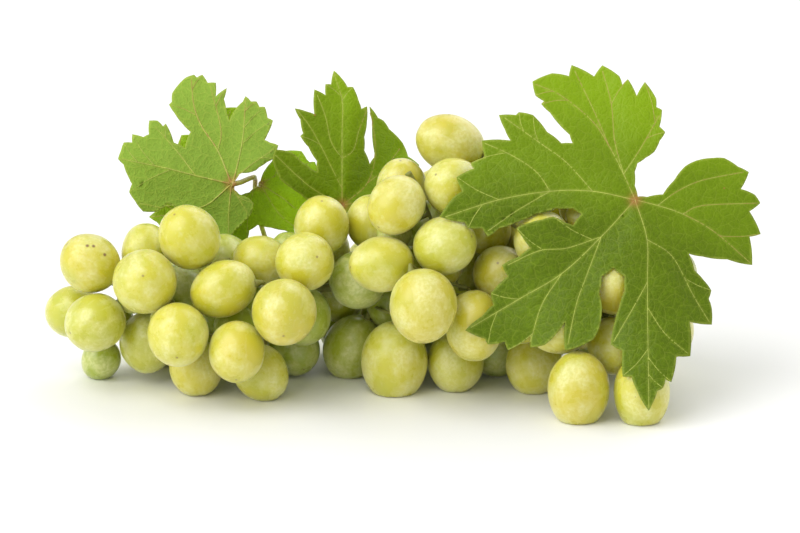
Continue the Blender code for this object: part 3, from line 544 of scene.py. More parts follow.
def ramp(tree, value, start, end):
    """0 at start and 1 at end, eased between them."""
    inputs = {"Value": value, "From Min": start, "From Max": end}
    return put(tree, "ShaderNodeMapRange", inputs, interpolation_type="SMOOTHSTEP").outputs[0]


def grain(tree, place, scale, detail=2.0):
    """Soft noise of about 1/scale metres."""
    inputs = {"Vector": place, "Scale": scale, "Detail": detail, "Roughness": 0.55}
    return put(tree, "ShaderNodeTexNoise", inputs).outputs["Fac"]


def object_place(tree):
    """Where a point of the surface is, in the model's own frame."""
    return put(tree, "ShaderNodeTexCoord", {}).outputs["Object"]


def painted(tree, name):
    """A value stored on the mesh."""
    return put(tree, "ShaderNodeAttribute", {}, attribute_name=name).outputs["Fac"]


def specks(tree, place, scale, radius, share):
    """Round specks on a share of the cells of a net."""
    net = put(tree, "ShaderNodeTexVoronoi", {"Vector": place, "Scale": scale})
    dots = ramp(tree, net.outputs["Distance"], radius, radius * 0.55)
    split = put(tree, "ShaderNodeSeparateColor", {0: net.outputs["Color"]})
    return calc(tree, "MULTIPLY", dots, calc(tree, "GREATER_THAN", split.outputs[0], 1.0 - share))


def bump(tree, shader, height, depth):
    """Raise the surface by a height map."""
    inputs = {"Height": height, "Distance": depth, "Strength": 1.0}
    tree.links.new(put(tree, "ShaderNodeBump", inputs).outputs[0], shader.inputs["Normal"])


def add_piece(name, mesh, materials, slot, nodes=()):
    """Link a finished mesh as a piece of the bunch that stands for its nodes."""
    piece = bpy.data.objects.new(name, mesh)
    bpy.context.scene.collection.objects.link(piece)
    for material in materials:
        mesh.materials.append(material)
    mesh.shade_smooth()
    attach(piece, BODY)
    if nodes:
        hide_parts(*nodes)
    return piece


def node_points(node):
    """A frame node's corners, each once, in metres."""
    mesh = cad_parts[node].data
    points = np.empty(len(mesh.vertices) * 3)
    mesh.vertices.foreach_get("co", points)
    return np.unique(np.round(points.reshape(-1, 3), 7), axis=0)


@functools.cache
def node_tree(node):
    """A frame node's surface, for finding the nearest place on it."""
    bm = bmesh.new()
    bm.from_mesh(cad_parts[node].data)
    bmesh.ops.remove_doubles(bm, verts=bm.verts[:], dist=MERGE_GAP)
    tree = BVHTree.FromBMesh(bm)
    bm.free()
    return tree


def tube_mesh(name, tubes, sides_step):
    """Closed tubes, each a list of points and of radii, in one mesh."""
    curve = bpy.data.curves.new(name, "CURVE")
    curve.dimensions = "3D"
    curve.bevel_depth = 1.0
    curve.bevel_resolution = sides_step
    curve.use_fill_caps = True
    for points, radii in tubes:
        spline = curve.splines.new("POLY")
        spline.points.add(len(points) - 1)
        for knot, point, radius in zip(spline.points, points, radii):
            knot.co = (*point, 1.0)
            knot.radius = radius
    holder = bpy.data.objects.new(name, curve)
    bpy.context.scene.collection.objects.link(holder)
    graph = bpy.context.evaluated_depsgraph_get()
    mesh = bpy.data.meshes.new_from_object(holder.evaluated_get(graph))
    bpy.data.objects.remove(holder, do_unlink=True)
    bpy.data.curves.remove(curve)
    bm = bmesh.new()
    bm.from_mesh(mesh)
    bmesh.ops.remove_doubles(bm, verts=bm.verts[:], dist=MERGE_GAP / 10.0)
    bmesh.ops.recalc_face_normals(bm, faces=bm.faces[:])
    bm.to_mesh(mesh)
    bm.free()
    return mesh


def smooth_line(points, step):
    """A curve through the points, with a point about every step."""
    points = [Vector(point) for point in points]
    padded = [points[0] * 2.0 - points[1]] + points + [points[-1] * 2.0 - points[-2]]
    line = []
    for a, b, c, d in zip(padded, padded[1:], padded[2:], padded[3:]):
        count = max(1, round((c - b).length / step))
        for k in range(count):
            t = k / count
            line.append(0.5 * (2.0 * b + (c - a) * t + (2.0 * a - 5.0 * b + 4.0 * c - d) * t * t
                               + (3.0 * b - a - 3.0 * c + d) * t ** 3))
    line.append(points[-1])
    return line


# ---------------------------------------------------------------------------
# Berries
# ---------------------------------------------------------------------------

class Berry:
    """A berry's centre, the way its free end points, and its half sizes, in metres."""

    def __init__(self, name, centre, axis, half_width, half_length):
        self.name = name
        self.centre = centre
        self.axis = axis
        self.half_width = half_width
        self.half_length = half_length

    def balls(self):
        """The middles of a few balls along the berry that fill it."""
        reach = self.half_length - self.half_width
        return [self.centre + self.axis * reach * step for step in BALL_PLACES]

    def stem_end(self):
        """The middle of the end that its stalk holds."""
        return self.centre - self.axis * self.half_length


@functools.cache
def outer_berries():
    """The frame's berries, each measured from its solid."""
    berries = []
    for node in BERRY_NODES:
        points = node_points(node)
        centre = points.mean(axis=0)
        _, ways = np.linalg.eigh(np.cov((points - centre).T))
        axis = ways[:, 2]
        along = (points - centre) @ axis
        across = np.linalg.norm(points - centre - along[:, None] * axis, axis=1)
        reach = np.max(np.abs(along))
        band = np.abs(np.abs(along) - TAPER_BAND[0] * reach) < TAPER_BAND[1] * reach
        if across[band & (along > 0)].mean() > across[band & (along < 0)].mean():
            axis = -axis
        widest = np.max(across) / (1.0 - BERRY_TAPER / 2.0)
        berries.append(Berry(node, Vector(centre), Vector(axis), widest, reach))
    return berries


def leaf_push(centre, radius):
    """How a berry moves so that every blade stays on its own side of it."""
    push = Vector()
    for name in LEAVES:
        tree = node_tree(name)
        behind = -BLADE_OUT if name == "leaf_front" else BLADE_OUT
        near, _, _, far = tree.find_nearest(centre, radius)
        if near is not None:
            push += (centre - near).normalized() * (radius - far)
        wrong_side, _, _, depth = tree.ray_cast(centre, behind, BLADE_REACH * MM)
        if wrong_side is not None:
            push += behind * (depth + radius)
    return np.array(push)


def listed_berries():
    """The listed berries, pushed clear of berries, twigs, leaves and floor."""
    balls = np.array([berry.balls() for berry in outer_berries()])
    radii = np.array([berry.half_width for berry in outer_berries()])
    twigs = node_points("rachis")
    starts = np.array([(Vector(row[:3]) + TABLE_SHIFT) * MM for row in INNER_BERRIES])
    centres = starts.copy()
    sizes = np.array([row[3] for row in INNER_BERRIES]) / 2.0 * MM
    gap = INNER_GAP * MM
    lack = np.zeros(len(centres))
    for _ in range(SETTLE_ROUNDS):
        for k, centre in enumerate(centres):
            near = balls[np.arange(len(balls)),
                         np.argmin(np.linalg.norm(balls - centre, axis=2), axis=1)]
            others = np.arange(len(centres)) != k
            solids = np.concatenate([near, centres[others]])
            reach = np.concatenate([radii, sizes[others]]) + sizes[k] + gap
            away = centre - solids
            distance = np.linalg.norm(away, axis=1)
            short = np.maximum(reach - distance, 0.0)
            lack[k] = short.max()
            push = (away / distance[:, None] * short[:, None]).sum(axis=0)
            off_twig = centre - twigs[np.argmin(np.linalg.norm(twigs - centre, axis=1))]
            twig_far = np.linalg.norm(off_twig)
            push += off_twig / twig_far * max(0.0, TWIG_DEPTH * sizes[k] - twig_far) * TWIG_PUSH
            push += leaf_push(Vector(centre), sizes[k] + LEAF_GAP * MM)
            push += (starts[k] - centre) * HOME_PULL
            centres[k] = centre + push * SETTLE_PART
            centres[k][2] = max(centres[k][2], sizes[k] * FLOOR_HOLD)
    berries = []
    moved = np.linalg.norm(centres - starts, axis=1)
    for k, centre in enumerate(centres):
        size = sizes[k] - max(0.0, lack[k] - GAPS_SPARED * gap)
        if size >= sizes[k] * SMALLEST_INNER and moved[k] < FARTHEST_PUSH * MM:
            berries.append(inner_berry("inner_%02d" % (k + 1), Vector(centre), size, twigs))
    return berries


def inner_berry(name, centre, size, twigs):
    """A berry whose free end points away from the nearest twig."""
    nearest = twigs[np.argmin(np.linalg.norm(twigs - np.array(centre), axis=1))]
    axis = (centre - Vector(nearest)).normalized()
    return Berry(name, centre, axis, size, size + INNER_LONGER * MM)


def sheltered(place, balls, radii):
    """Whether a place is covered from in front and above, and open on few sides."""
    open_sides = 0
    for index, way in enumerate(SHELTER):
        along = (balls - np.array(place)) @ np.array(way)
        off = np.linalg.norm(balls - np.array(place) - along[:, None] * np.array(way), axis=1)
        behind_berry = np.any((along > 0.0) & (along < SHELTER_REACH * MM) & (off < radii))
        if not behind_berry and not any(
                node_tree(leaf).ray_cast(place, way, SHELTER_REACH * MM)[0] for leaf in LEAVES):
            if index < SHELTER_SHUT:
                return False
            open_sides += 1
    return open_sides <= SHELTER_OPEN


def filling_berries(others):
    """Berries deep inside the bunch, each in the widest sheltered gap that is left."""
    balls = np.array([ball for berry in others for ball in berry.balls()])
    radii = np.repeat([berry.half_width for berry in others], len(BALL_PLACES))
    twigs = node_points("rachis")
    steps = [np.arange(low, high, FILL_STEP) for low, high in FILL_BOX]
    places = np.stack(np.meshgrid(*steps, indexing="ij"), axis=-1).reshape(-1, 3)
    off_stalk = np.linalg.norm((places - np.array(FILL_LEVEL))[:, 1:], axis=1)
    places = (places[off_stalk < FILL_SPREAD] + np.array(TABLE_SHIFT)) * MM
    room = np.full(len(places), FILL_SIZES[1] * MM)
    for ball, radius in zip(balls, radii):
        room = np.minimum(room, np.linalg.norm(places - ball, axis=1) - radius)
    for twig in twigs[::2]:     # every other point is near enough
        room = np.minimum(room, np.linalg.norm(places - twig, axis=1) + TWIG_ROOM * MM)
    room = np.minimum(room, places[:, 2])
    berries = []
    while room.max() >= FILL_SIZES[0] * MM:
        pick = int(np.argmax(room))
        place = Vector(places[pick])
        size = room[pick] - INNER_GAP * MM
        for leaf in LEAVES:
            _, _, _, far = node_tree(leaf).find_nearest(place)
            size = min(size, far - LEAF_GAP * MM)
        if size < (FILL_SIZES[0] - FILL_SLACK) * MM or not sheltered(place, balls, radii):
            room[pick] = 0.0
            continue
        berries.append(inner_berry("deep_%02d" % (len(berries) + 1), place, size, twigs))
        room = np.minimum(room, np.linalg.norm(places - places[pick], axis=1) - size)
    return berries


@functools.cache
def inner_berries():
    """The listed berries, then those that fill the gaps deep inside."""
    listed = listed_berries()
    return listed + filling_berries(outer_berries() + listed)


@functools.cache
def all_berries():
    """Every berry of the bunch."""
    return outer_berries() + inner_berries()


def berry_tone(berry):
    """From -1 (green) to 1 (amber): set back, low and inner ones greener, partly as painted shade."""
    chance = random.Random(berry.name)
    sun_and_shade = berry.centre.z / (SUN_AND_SHADE_HEIGHT * MM) - berry.centre.y / (SUN_AND_SHADE_DEPTH * MM)
    # painted shade, with less sun: inner berries are made greener and darker
    if not berry.name.startswith("berry"):
        sun_and_shade -= SUN_AND_SHADE_INSIDE
    tone = TONE_PER_SUN_AND_SHADE * sun_and_shade + TONE_START + chance.uniform(-TONE_CHANCE, TONE_CHANCE)
    return LISTED_TONES.get(berry.name, max(-1.0, min(1.0, tone)))


def spot_places(berry_name):
    """Where the listed brown spots lie on a berry's skin."""
    berry = next(item for item in outer_berries() if item.name == berry_name)
    for direction in BROWN_SPOTS[berry_name]:
        way = Vector(direction).normalized()
        yield berry.centre + way * surface_reach(berry, way)


def contact_planes(berry, plump):
    """Where its neighbours press against a berry: a point and the way out for each."""
    planes = []
    for other in all_berries():
        way = other.centre - berry.centre
        far = way.length
        if other is berry or far > NEIGHBOUR_REACH * MM:
            continue
        way.normalize()
        own = surface_reach(berry, way) * plump
        touch = (far + own - surface_reach(other, way) * plump) / 2.0
        if touch < own:
            planes.append((berry.centre + way * (touch - FACE_GAP * MM), way))
    return planes


def surface_reach(berry, way):
    """From a berry's centre to its skin in one direction."""
    along = abs(way.dot(berry.axis))
    across = math.sqrt(max(0.0, 1.0 - along * along))
    return 1.0 / math.hypot(along / berry.half_length, across / berry.half_width)


def berry_mesh(berry, settings):
    """One berry in place: an uneven egg with a hollow at each end, flat where it is pressed."""
    bm = bmesh.new()
    place_layer = bm.verts.layers.float_vector.new("place")
    tone_layer = bm.verts.layers.float.new("tone")
    bmesh.ops.create_icosphere(bm, subdivisions=settings.fineness, radius=1.0)
    turn = Vector((0.0, 0.0, 1.0)).rotation_difference(berry.axis)
    chance = random.Random(berry.name)
    shift = Vector([chance.uniform(0.0, UNEVEN_SPAN) for _ in range(3)])
    tone = berry_tone(berry)
    plump = settings.plump
    planes = contact_planes(berry, plump)
    for vert in bm.verts:
        way = vert.co.copy()
        slim = plump * (1.0 - BERRY_TAPER * (way.z + 1.0) / 2.0)
        local = Vector((way.x * berry.half_width * slim, way.y * berry.half_width * slim,
                        way.z * berry.half_length * plump))
        off_axis = math.hypot(local.x, local.y)
        hollow = settings.dimple * math.exp(-(off_axis / (DIMPLE_RADIUS * MM)) ** 2)
        local.z -= math.copysign(hollow, way.z)
        local -= way * settings.uneven * (0.5 + noise.noise(way * UNEVEN_SCALE + shift))
        vert[place_layer] = local
        vert[tone_layer] = tone
        vert.co = berry.centre + turn @ local
        for point, out in planes:
            vert.co -= out * max(0.0, (vert.co - point).dot(out))
        vert.co.z = max(vert.co.z, 0.0)
    mesh = bpy.data.meshes.new(berry.name)
    bm.to_mesh(mesh)
    bm.free()
    return mesh


def skin_colour(tree, place, local, settings):
    """Yellow to green by the berry's tone, drifting over the skin, with fine pale streaks."""
    tone = painted(tree, "tone")
    drift = grain(tree, place, 55.0)
    ripeness = calc(tree, "ADD", tone, calc(tree, "MULTIPLY", drift, 0.5))
    skin = mixed(tree, ramp(tree, tone, 0.0, -1.0), settings.ripe, settings.young)
    sunny = calc(tree, "MULTIPLY", ramp(tree, ripeness, 0.35, 1.2), 0.6)
    skin = mixed(tree, sunny, skin, settings.amber)
    greener = calc(tree, "MULTIPLY", ramp(tree, drift, 0.60, 0.25), 0.35)
    skin = mixed(tree, greener, skin, settings.young)
    threads = put(tree, "ShaderNodeMapping", {"Vector": local, "Scale": (1.0, 1.0, 0.16)})
    streaks = ramp(tree, grain(tree, threads.outputs[0], 620.0, 1.0), 0.56, 0.72)
    return mixed(tree, calc(tree, "MULTIPLY", streaks, 0.16), skin, settings.bloom)


def skin_wax(tree, place):
    """How thick the wax lies: a patchy dusting of fine grains."""
    dusting = ramp(tree, grain(tree, place, 95.0, 5.0), 0.42, 0.62)
    fine = ramp(tree, grain(tree, place, 900.0, 3.0), 0.38, 0.62)
    return calc(tree, "MULTIPLY", dusting, calc(tree, "ADD", calc(tree, "MULTIPLY", fine, 0.5), 0.5))


def skin_marks(tree, place, local):
    """How brown the skin is: a few specks, the scar, the stalk's collar, the listed spots."""
    parts = put(tree, "ShaderNodeSeparateXYZ", {0: local})
    side = put(tree, "ShaderNodeCombineXYZ", {0: parts.outputs[0], 1: parts.outputs[1]})
    off_axis = put(tree, "ShaderNodeVectorMath", {0: side.outputs[0]},
                   operation="LENGTH").outputs["Value"]
    free_half = ramp(tree, parts.outputs[2], 1.0 * MM, 2.0 * MM)
    stem_half = ramp(tree, parts.outputs[2], -1.0 * MM, -2.0 * MM)
    few = specks(tree, place, 230.0, 0.055, 0.16)
    scar = calc(tree, "MULTIPLY", ramp(tree, off_axis, 0.6 * MM, 0.3 * MM), free_half)
    collar = calc(tree, "MULTIPLY", ramp(tree, off_axis, 3.0 * MM, 1.2 * MM), stem_half)
    marks = calc(tree, "ADD", calc(tree, "MULTIPLY", few, 0.7), calc(tree, "MULTIPLY", scar, 0.65))
    marks = calc(tree, "ADD", marks, calc(tree, "MULTIPLY", collar, 0.25))
    for berry_name in BROWN_SPOTS:
        for spot in spot_places(berry_name):
            inputs = {0: place, 1: spot}
            off = put(tree, "ShaderNodeVectorMath", inputs, operation="DISTANCE")
            brown = ramp(tree, off.outputs["Value"], 0.9 * MM, 0.3 * MM)
            marks = calc(tree, "ADD", marks, brown)
    return marks


def skin_material(settings):
    """Grape skin: translucent, yellow to green, mottled with wax and specked with brown."""
    mat, tree, shader = new_material("grape_skin")
    place = object_place(tree)
    local = put(tree, "ShaderNodeAttribute", {}, attribute_name="place").outputs["Vector"]
    wax = skin_wax(tree, place)
    pores = specks(tree, place, 1500.0, 0.20, 0.5)
    skin = skin_colour(tree, place, local, settings)
    skin = mixed(tree, calc(tree, "MULTIPLY", wax, 0.50), skin, settings.bloom)
    skin = mixed(tree, calc(tree, "MULTIPLY", pores, 0.35), skin, settings.bloom)
    skin = mixed(tree, skin_marks(tree, place, local), skin, settings.scar)
    tree.links.new(skin, shader.inputs["Base Color"])
    rough = put(tree, "ShaderNodeMapRange", {"Value": wax, "To Min": 0.26, "To Max": 0.50})
    tree.links.new(rough.outputs[0], shader.inputs["Roughness"])
    finish = {"Subsurface Weight": 0.65, "Subsurface Radius": (1.0, 0.80, 0.18),
              "Subsurface Scale": 4.5 * MM, "Specular IOR Level": 0.45, "Coat Weight": 0.9,
              "Coat Roughness": 0.45, "Sheen Weight": 0.10, "Sheen Roughness": 0.5}
    for name, value in finish.items():
        shader.inputs[name].default_value = value
    height = calc(tree, "ADD", calc(tree, "MULTIPLY", wax, 0.5),
                  calc(tree, "MULTIPLY", grain(tree, place, 420.0, 3.0), 0.5))
    bump(tree, shader, height, 0.05 * MM)
    return mat


class GRAPES_OT_berries(bpy.types.Operator):
    """Make each berry of the frame again as a fine skin"""

    bl_idname = "grapes.berries"
    bl_label = "Outer berries"

    def execute(self, context):
        settings = context.scene.grape_berries
        skin = skin_material(settings)
        for berry in outer_berries():
            name = berry.name.replace("berry", "grape")
            add_piece(name, berry_mesh(berry, settings), [skin], "berry_skin", [berry.name])
        return {"FINISHED"}


class GRAPES_OT_inner_berries(bpy.types.Operator):
    """Add the berries that fill the gaps of the bunch"""

    bl_idname = "grapes.inner_berries"
    bl_label = "Inner berries"

    def execute(self, context):
        settings = context.scene.grape_berries
        skin = bpy.data.materials.get("grape_skin") or skin_material(settings)
        for berry in inner_berries():
            add_piece("grape_" + berry.name, berry_mesh(berry, settings), [skin], "berry_skin")
        return {"FINISHED"}


# ---------------------------------------------------------------------------
# Stalk
# ---------------------------------------------------------------------------

def clear_of_berries(start, end, berries, radius):
    """How deep a straight twig would cut into the berries."""
    balls = np.array([ball for berry in berries for ball in berry.balls()])
    radii = np.repeat([berry.half_width for berry in berries], len(BALL_PLACES))
    steps = np.linspace(0.0, 1.0, TWIG_SAMPLES)[:, None]
    points = np.array(start) * (1.0 - steps) + np.array(end) * steps
    distance = np.linalg.norm(points[:, None, :] - balls[None, :, :], axis=2)
    return float(np.max(radii[None, :] + radius - distance))


def pedicel_tubes(settings):
    """A wart under every berry, and a pedicel for each inner one, as tubes."""
    twigs = node_points("rachis")
    tubes = []
    for berry in outer_berries():
        distance = np.linalg.norm(twigs - np.array(berry.centre), axis=1)
        near = twigs[distance < distance.min() + FOOT_PATCH * MM]
        foot = Vector(near.mean(axis=0))
        inward = (berry.centre - foot).normalized()
        reach = (berry.centre - foot).length - surface_reach(berry, -inward)
        points = [foot - inward * WART_ROOT * MM, foot,
                  foot + inward * (reach + WART_SINK * MM)]
        tubes.append((points, [settings.pedicel, settings.wart * WART_NECK, settings.wart]))
    for berry in inner_berries():
        others = [other for other in all_berries() if other is not berry]
        order = np.argsort(np.linalg.norm(twigs - np.array(berry.centre), axis=1))
        best = None
        for pick in order[:TWIGS_TRIED:TWIGS_SKIPPED]:
            goal = Vector(twigs[pick])
            way = (goal - berry.centre).normalized()
            start = berry.centre + way * surface_reach(berry, way)
            depth = clear_of_berries(start, goal, others, settings.pedicel)
            if best is None or depth < best[0] - BETTER_BY * MM:
                best = (depth, start, goal, way)
            if depth <= 0.0:
                break
        _, start, goal, way = best
        points = [start - way * WART_SINK * MM, start + way * WART_NECK * MM,
                  start + way * 2.0 * WART_NECK * MM, goal]
        tubes.append((points, [settings.wart, settings.wart * WART_NECK, settings.pedicel,
                               settings.pedicel]))
    return tubes


def stalk_mesh(settings):
    """The whole stalk: the frame's, its warts and pedicels, fused and rounded."""
    bm = bmesh.new()
    bm.from_mesh(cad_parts["rachis"].data)
    bmesh.ops.remove_doubles(bm, verts=bm.verts[:], dist=MERGE_GAP)
    bm.from_mesh(tube_mesh("pedicels", pedicel_tubes(settings), 2))
    mesh = bpy.data.meshes.new("stalk")
    bm.to_mesh(mesh)
    bm.free()
    holder = bpy.data.objects.new("stalk_fusing", mesh)
    bpy.context.scene.collection.objects.link(holder)
    fuse = holder.modifiers.new("fuse", "REMESH")
    fuse.mode = "VOXEL"
    fuse.voxel_size = settings.detail
    soften = holder.modifiers.new("soften", "SMOOTH")
    soften.factor = 0.5
    soften.iterations = 4
    graph = bpy.context.evaluated_depsgraph_get()
    fused = bpy.data.meshes.new_from_object(holder.evaluated_get(graph))
    bpy.data.objects.remove(holder, do_unlink=True)
    cut = (Vector(STALK_CUT_END[0]) + TABLE_SHIFT) * MM
    inward = (Vector(STALK_CUT_END[1]) - Vector(STALK_CUT_END[0])).normalized()
    bm = bmesh.new()
    bm.from_mesh(fused)
    cut_layer = bm.verts.layers.float.new("cut")
    age_layer = bm.verts.layers.float.new("age")
    for vert in bm.verts:
        depth = (vert.co - cut).dot(inward)
        off_axis = ((vert.co - cut) - inward * depth).length
        at_cut = depth < CUT_DEPTH * MM and off_axis < CUT_RADIUS * MM
        vert[cut_layer] = 1.0 if at_cut else 0.0
        vert[age_layer] = max(0.0, 1.0 - (vert.co - cut).length / (WOODY_LENGTH * MM))
    bm.to_mesh(fused)
    bm.free()
    return fused


def bark_material(settings):
    """Green bark that turns woody towards the cut, with warts and lengthwise grain."""
    mat, tree, shader = new_material("stalk_bark")
    place = object_place(tree)
    patches = grain(tree, place, 140.0, 4.0)
    age = calc(tree, "ADD", painted(tree, "age"), calc(tree, "MULTIPLY", patches, 0.5))
    colour = mixed(tree, ramp(tree, age, 0.20, 0.75), settings.green, settings.woody)
    stretched = put(tree, "ShaderNodeMapping", {"Vector": place, "Scale": (0.35, 1.0, 1.0)})
    fibres = grain(tree, stretched.outputs[0], 1600.0, 3.0)
    colour = mixed(tree, calc(tree, "MULTIPLY", ramp(tree, fibres, 0.60, 0.35), 0.4), colour,
                   settings.woody)
    warts = specks(tree, place, 700.0, 0.22, 0.35)
    colour = mixed(tree, calc(tree, "MULTIPLY", warts, 0.6), colour, settings.woody)
    colour = mixed(tree, painted(tree, "cut"), colour, settings.pith)
    tree.links.new(colour, shader.inputs["Base Color"])
    rough = put(tree, "ShaderNodeMapRange", {"Value": fibres, "To Min": 0.50, "To Max": 0.75})
    tree.links.new(rough.outputs[0], shader.inputs["Roughness"])
    height = calc(tree, "ADD", calc(tree, "MULTIPLY", fibres, 0.6), calc(tree, "MULTIPLY", warts, 0.4))
    bump(tree, shader, height, 0.12 * MM)
    return mat


class GRAPES_OT_stalk(bpy.types.Operator):
    """Make the branched stalk with a wart and pedicel for every berry"""

    bl_idname = "grapes.stalk"
    bl_label = "Stalk"

    def execute(self, context):
        settings = context.scene.grape_stalk
        bark = bark_material(settings)
        add_piece("stalk", stalk_mesh(settings), [bark], "stalk", ["rachis"])
        return {"FINISHED"}


# ---------------------------------------------------------------------------
# Leaves
# ---------------------------------------------------------------------------

def lobe_rise(angle, slopes):
    """Rise per length towards a lobe, eased between the listed directions."""
    knots = sorted(slopes)
    knots = [(knots[-1][0] - 360.0, knots[-1][1])] + knots + [(knots[0][0] + 360.0, knots[0][1])]
    for (low, rise_low), (high, rise_high) in zip(knots, knots[1:]):
        if low <= angle <= high:
            ease = 0.5 - 0.5 * math.cos(math.pi * (angle - low) / (high - low))
            return rise_low + (rise_high - rise_low) * ease
    raise ValueError("no lobe in this direction")


def unbent_place(x, y, leaf):
    """Where a point of the blade would lie if no berry lifted it, in millimetres."""
    radius = math.hypot(x, y)
    angle = math.degrees(math.atan2(y, x)) % 360.0
    rise = radius * lobe_rise(angle, leaf["slopes"]) + leaf["curl"] * radius * radius
    joint = Vector(leaf["joint"]) + TABLE_SHIFT
    return joint + BLADE_RIGHT * x + BLADE_UP * y + BLADE_OUT * rise


def toothed_outline(outline):
    """The outline with each side of each tooth bowed slightly outwards."""
    turning = sum(a[0] * b[1] - a[1] * b[0] for a, b in zip(outline, outline[1:] + outline[:1]))
    outward = 1.0 if turning > 0.0 else -1.0
    points = []
    for start, end in zip(outline, outline[1:] + outline[:1]):
        side = Vector(end) - Vector(start)
        bow = Vector((side.y, -side.x)) * outward * TOOTH_BOW
        count = max(1, round(side.length / EDGE_STEP))
        for k in range(count):
            part = k / count
            points.append(Vector(start) + side * part + bow * math.sin(math.pi * part))
    return points


def flat_blade(outline, cell):
    """The flat blade in millimetres: its outline filled, then cut into small squares."""
    bm = bmesh.new()
    edge = toothed_outline(outline)
    bm.faces.new([bm.verts.new((point.x, point.y, 0.0)) for point in edge])
    for axis in (0, 1):
        low = min(point[axis] for point in edge)
        high = max(point[axis] for point in edge)
        normal = Vector((1.0, 0.0, 0.0)) if axis == 0 else Vector((0.0, 1.0, 0.0))
        at = math.floor(low / cell) * cell + cell * 0.5
        while at < high:
            geometry = bm.verts[:] + bm.edges[:] + bm.faces[:]
            bmesh.ops.bisect_plane(bm, geom=geometry, plane_co=normal * at, plane_no=normal,
                                   dist=1e-4)
            at += cell
    bmesh.ops.remove_doubles(bm, verts=bm.verts[:], dist=SMALLEST_EDGE)
    bmesh.ops.triangulate(bm, faces=bm.faces[:])
    return bm


def inside_outline(x, y, outline):
    """Whether a flat point lies on the blade."""
    inside = False
    for (ax, ay), (bx, by) in zip(outline, outline[1:] + outline[:1]):
        if (ay > y) != (by > y) and x < (bx - ax) * (y - ay) / (by - ay) + ax:
            inside = not inside
    return inside


def tooth_tips(outline):
    """The points where the outline turns sharply outwards."""
    turning = sum(a[0] * b[1] - a[1] * b[0] for a, b in zip(outline, outline[1:] + outline[:1]))
    tips = []
    for k, point in enumerate(outline):
        before = Vector(point) - Vector(outline[k - 1])
        after = Vector(outline[(k + 1) % len(outline)]) - Vector(point)
        turn = math.degrees(before.angle_signed(after)) * (-1.0 if turning > 0.0 else 1.0)
        if turn > TOOTH_TURN:
            tips.append(Vector(point))
    return tips


def side_veins(leaf):
    """A fine vein from the main ones to each tooth, where a straight way exists."""
    outline = leaf["outline"]
    starts = []
    for width, points in leaf["veins"]:
        line = smooth_line([(x, y, 0.0) for x, y in points], BRANCH_STEP)
        for before, here in zip(line[1:-3], line[2:-2]):
            starts.append((here.xy, (here - before).xy.normalized(), width))
    ends = [Vector(points[-1]) for _, points in leaf["veins"]]
    shortest, longest = BRANCH_LENGTHS
    share, widest = BRANCH_WIDTH
    veins = []
    for tip in tooth_tips(outline):
        if min((tip - end).length for end in ends) < TIP_SERVED:
            continue
        best = None
        for start, along, width in starts:
            way = tip - start
            if not shortest < way.length < longest or way.dot(along) <= 0.0:
                continue
            middle = start + way * 0.5
            if not (inside_outline(*middle, outline)
                    and inside_outline(*(start + way * 0.8), outline)):
                continue
            off_angle = abs(math.degrees(way.angle(along)) - BRANCH_ANGLE)
            cost = off_angle / BRANCH_COSTS[0] + way.length / BRANCH_COSTS[1]
            if best is None or cost < best[0]:
                best = (cost, start, along, width)
        if best is None:
            continue
        _, start, along, width = best
        way = tip - start
        bend = start + way * BRANCH_BEND[0] + along * way.length * BRANCH_BEND[1]
        end = start + way * BRANCH_STOP
        veins.append((min(width, widest) * share, [tuple(start), tuple(bend), tuple(end)]))
    return veins


def vein_lines(leaf):
    """All veins as width and flat points, the main ones first."""
    lines = []
    for width, points in leaf["veins"] + side_veins(leaf):
        lines.append((width, smooth_line([(x, y, 0.0) for x, y in points], VEIN_STEP)))
    return lines


def nearest_on_pieces(points, line):
    """For each straight piece of a line, its nearest place to each flat point, and how far."""
    line = np.array([point.xy for point in line])
    for start, end in zip(line, line[1:]):
        along = end - start
        part = np.clip((points - start) @ along / max(along @ along, 1e-9), 0.0, 1.0)
        foot = start + part[:, None] * along
        yield foot, np.linalg.norm(points - foot, axis=1)


def snap_to_veins(bm, lines, reach):
    """Slide the points beside a vein onto it, so that the blade folds along it."""
    inner = [vert for vert in bm.verts if not vert.is_boundary]
    points = np.array([vert.co.xy for vert in inner])
    nearest = points.copy()
    shortest = np.full(len(points), reach)
    for _, line in lines:
        for foot, far in nearest_on_pieces(points, line):
            closer = far < shortest
            nearest[closer] = foot[closer]
            shortest[closer] = far[closer]
    for vert, place in zip(inner, nearest):
        vert.co.xy = place


def nearness(points, lines, reach):
    """For each flat point, how near it is to a vein: 1 on it, 0 at its reach."""
    near = np.zeros(len(points))
    for width, line in lines:
        for _, far in nearest_on_pieces(points, line):
            near = np.maximum(near, 1.0 - far / (reach * (REACH_START + width)))
    return near


def blade_lifts(flat, leaf, tree, edges):
    """How far each point stands off the unbent blade, read from the frame's leaf."""
    lifts = np.full(len(flat), np.nan)
    for k, (x, y) in enumerate(flat):
        place = unbent_place(x, y, leaf)
        start = (place + BLADE_OUT * BLADE_REACH) * MM
        hit, _, _, _ = tree.ray_cast(start, -BLADE_OUT, 2.0 * BLADE_REACH * MM)
        if hit is not None:
            lifts[k] = (hit / MM - place).dot(BLADE_OUT) - CAD_BLADE_THICKNESS / 2.0
    known = ~np.isnan(lifts)
    known[known] = np.abs(lifts[known] - np.median(lifts[known])) < STRAY_LIFT
    lifts[~known] = 0.0
    weight = known.astype(float)
    for _ in range(LIFT_ROUNDS):
        total = lifts * weight
        count = weight.copy()
        np.add.at(total, edges[:, 0], lifts[edges[:, 1]] * weight[edges[:, 1]])
        np.add.at(total, edges[:, 1], lifts[edges[:, 0]] * weight[edges[:, 0]])
        np.add.at(count, edges[:, 0], weight[edges[:, 1]])
        np.add.at(count, edges[:, 1], weight[edges[:, 0]])
        reached = count > 0.0
        lifts[reached] = total[reached] / count[reached]
        weight = np.where(reached, 1.0, weight)
    return lifts


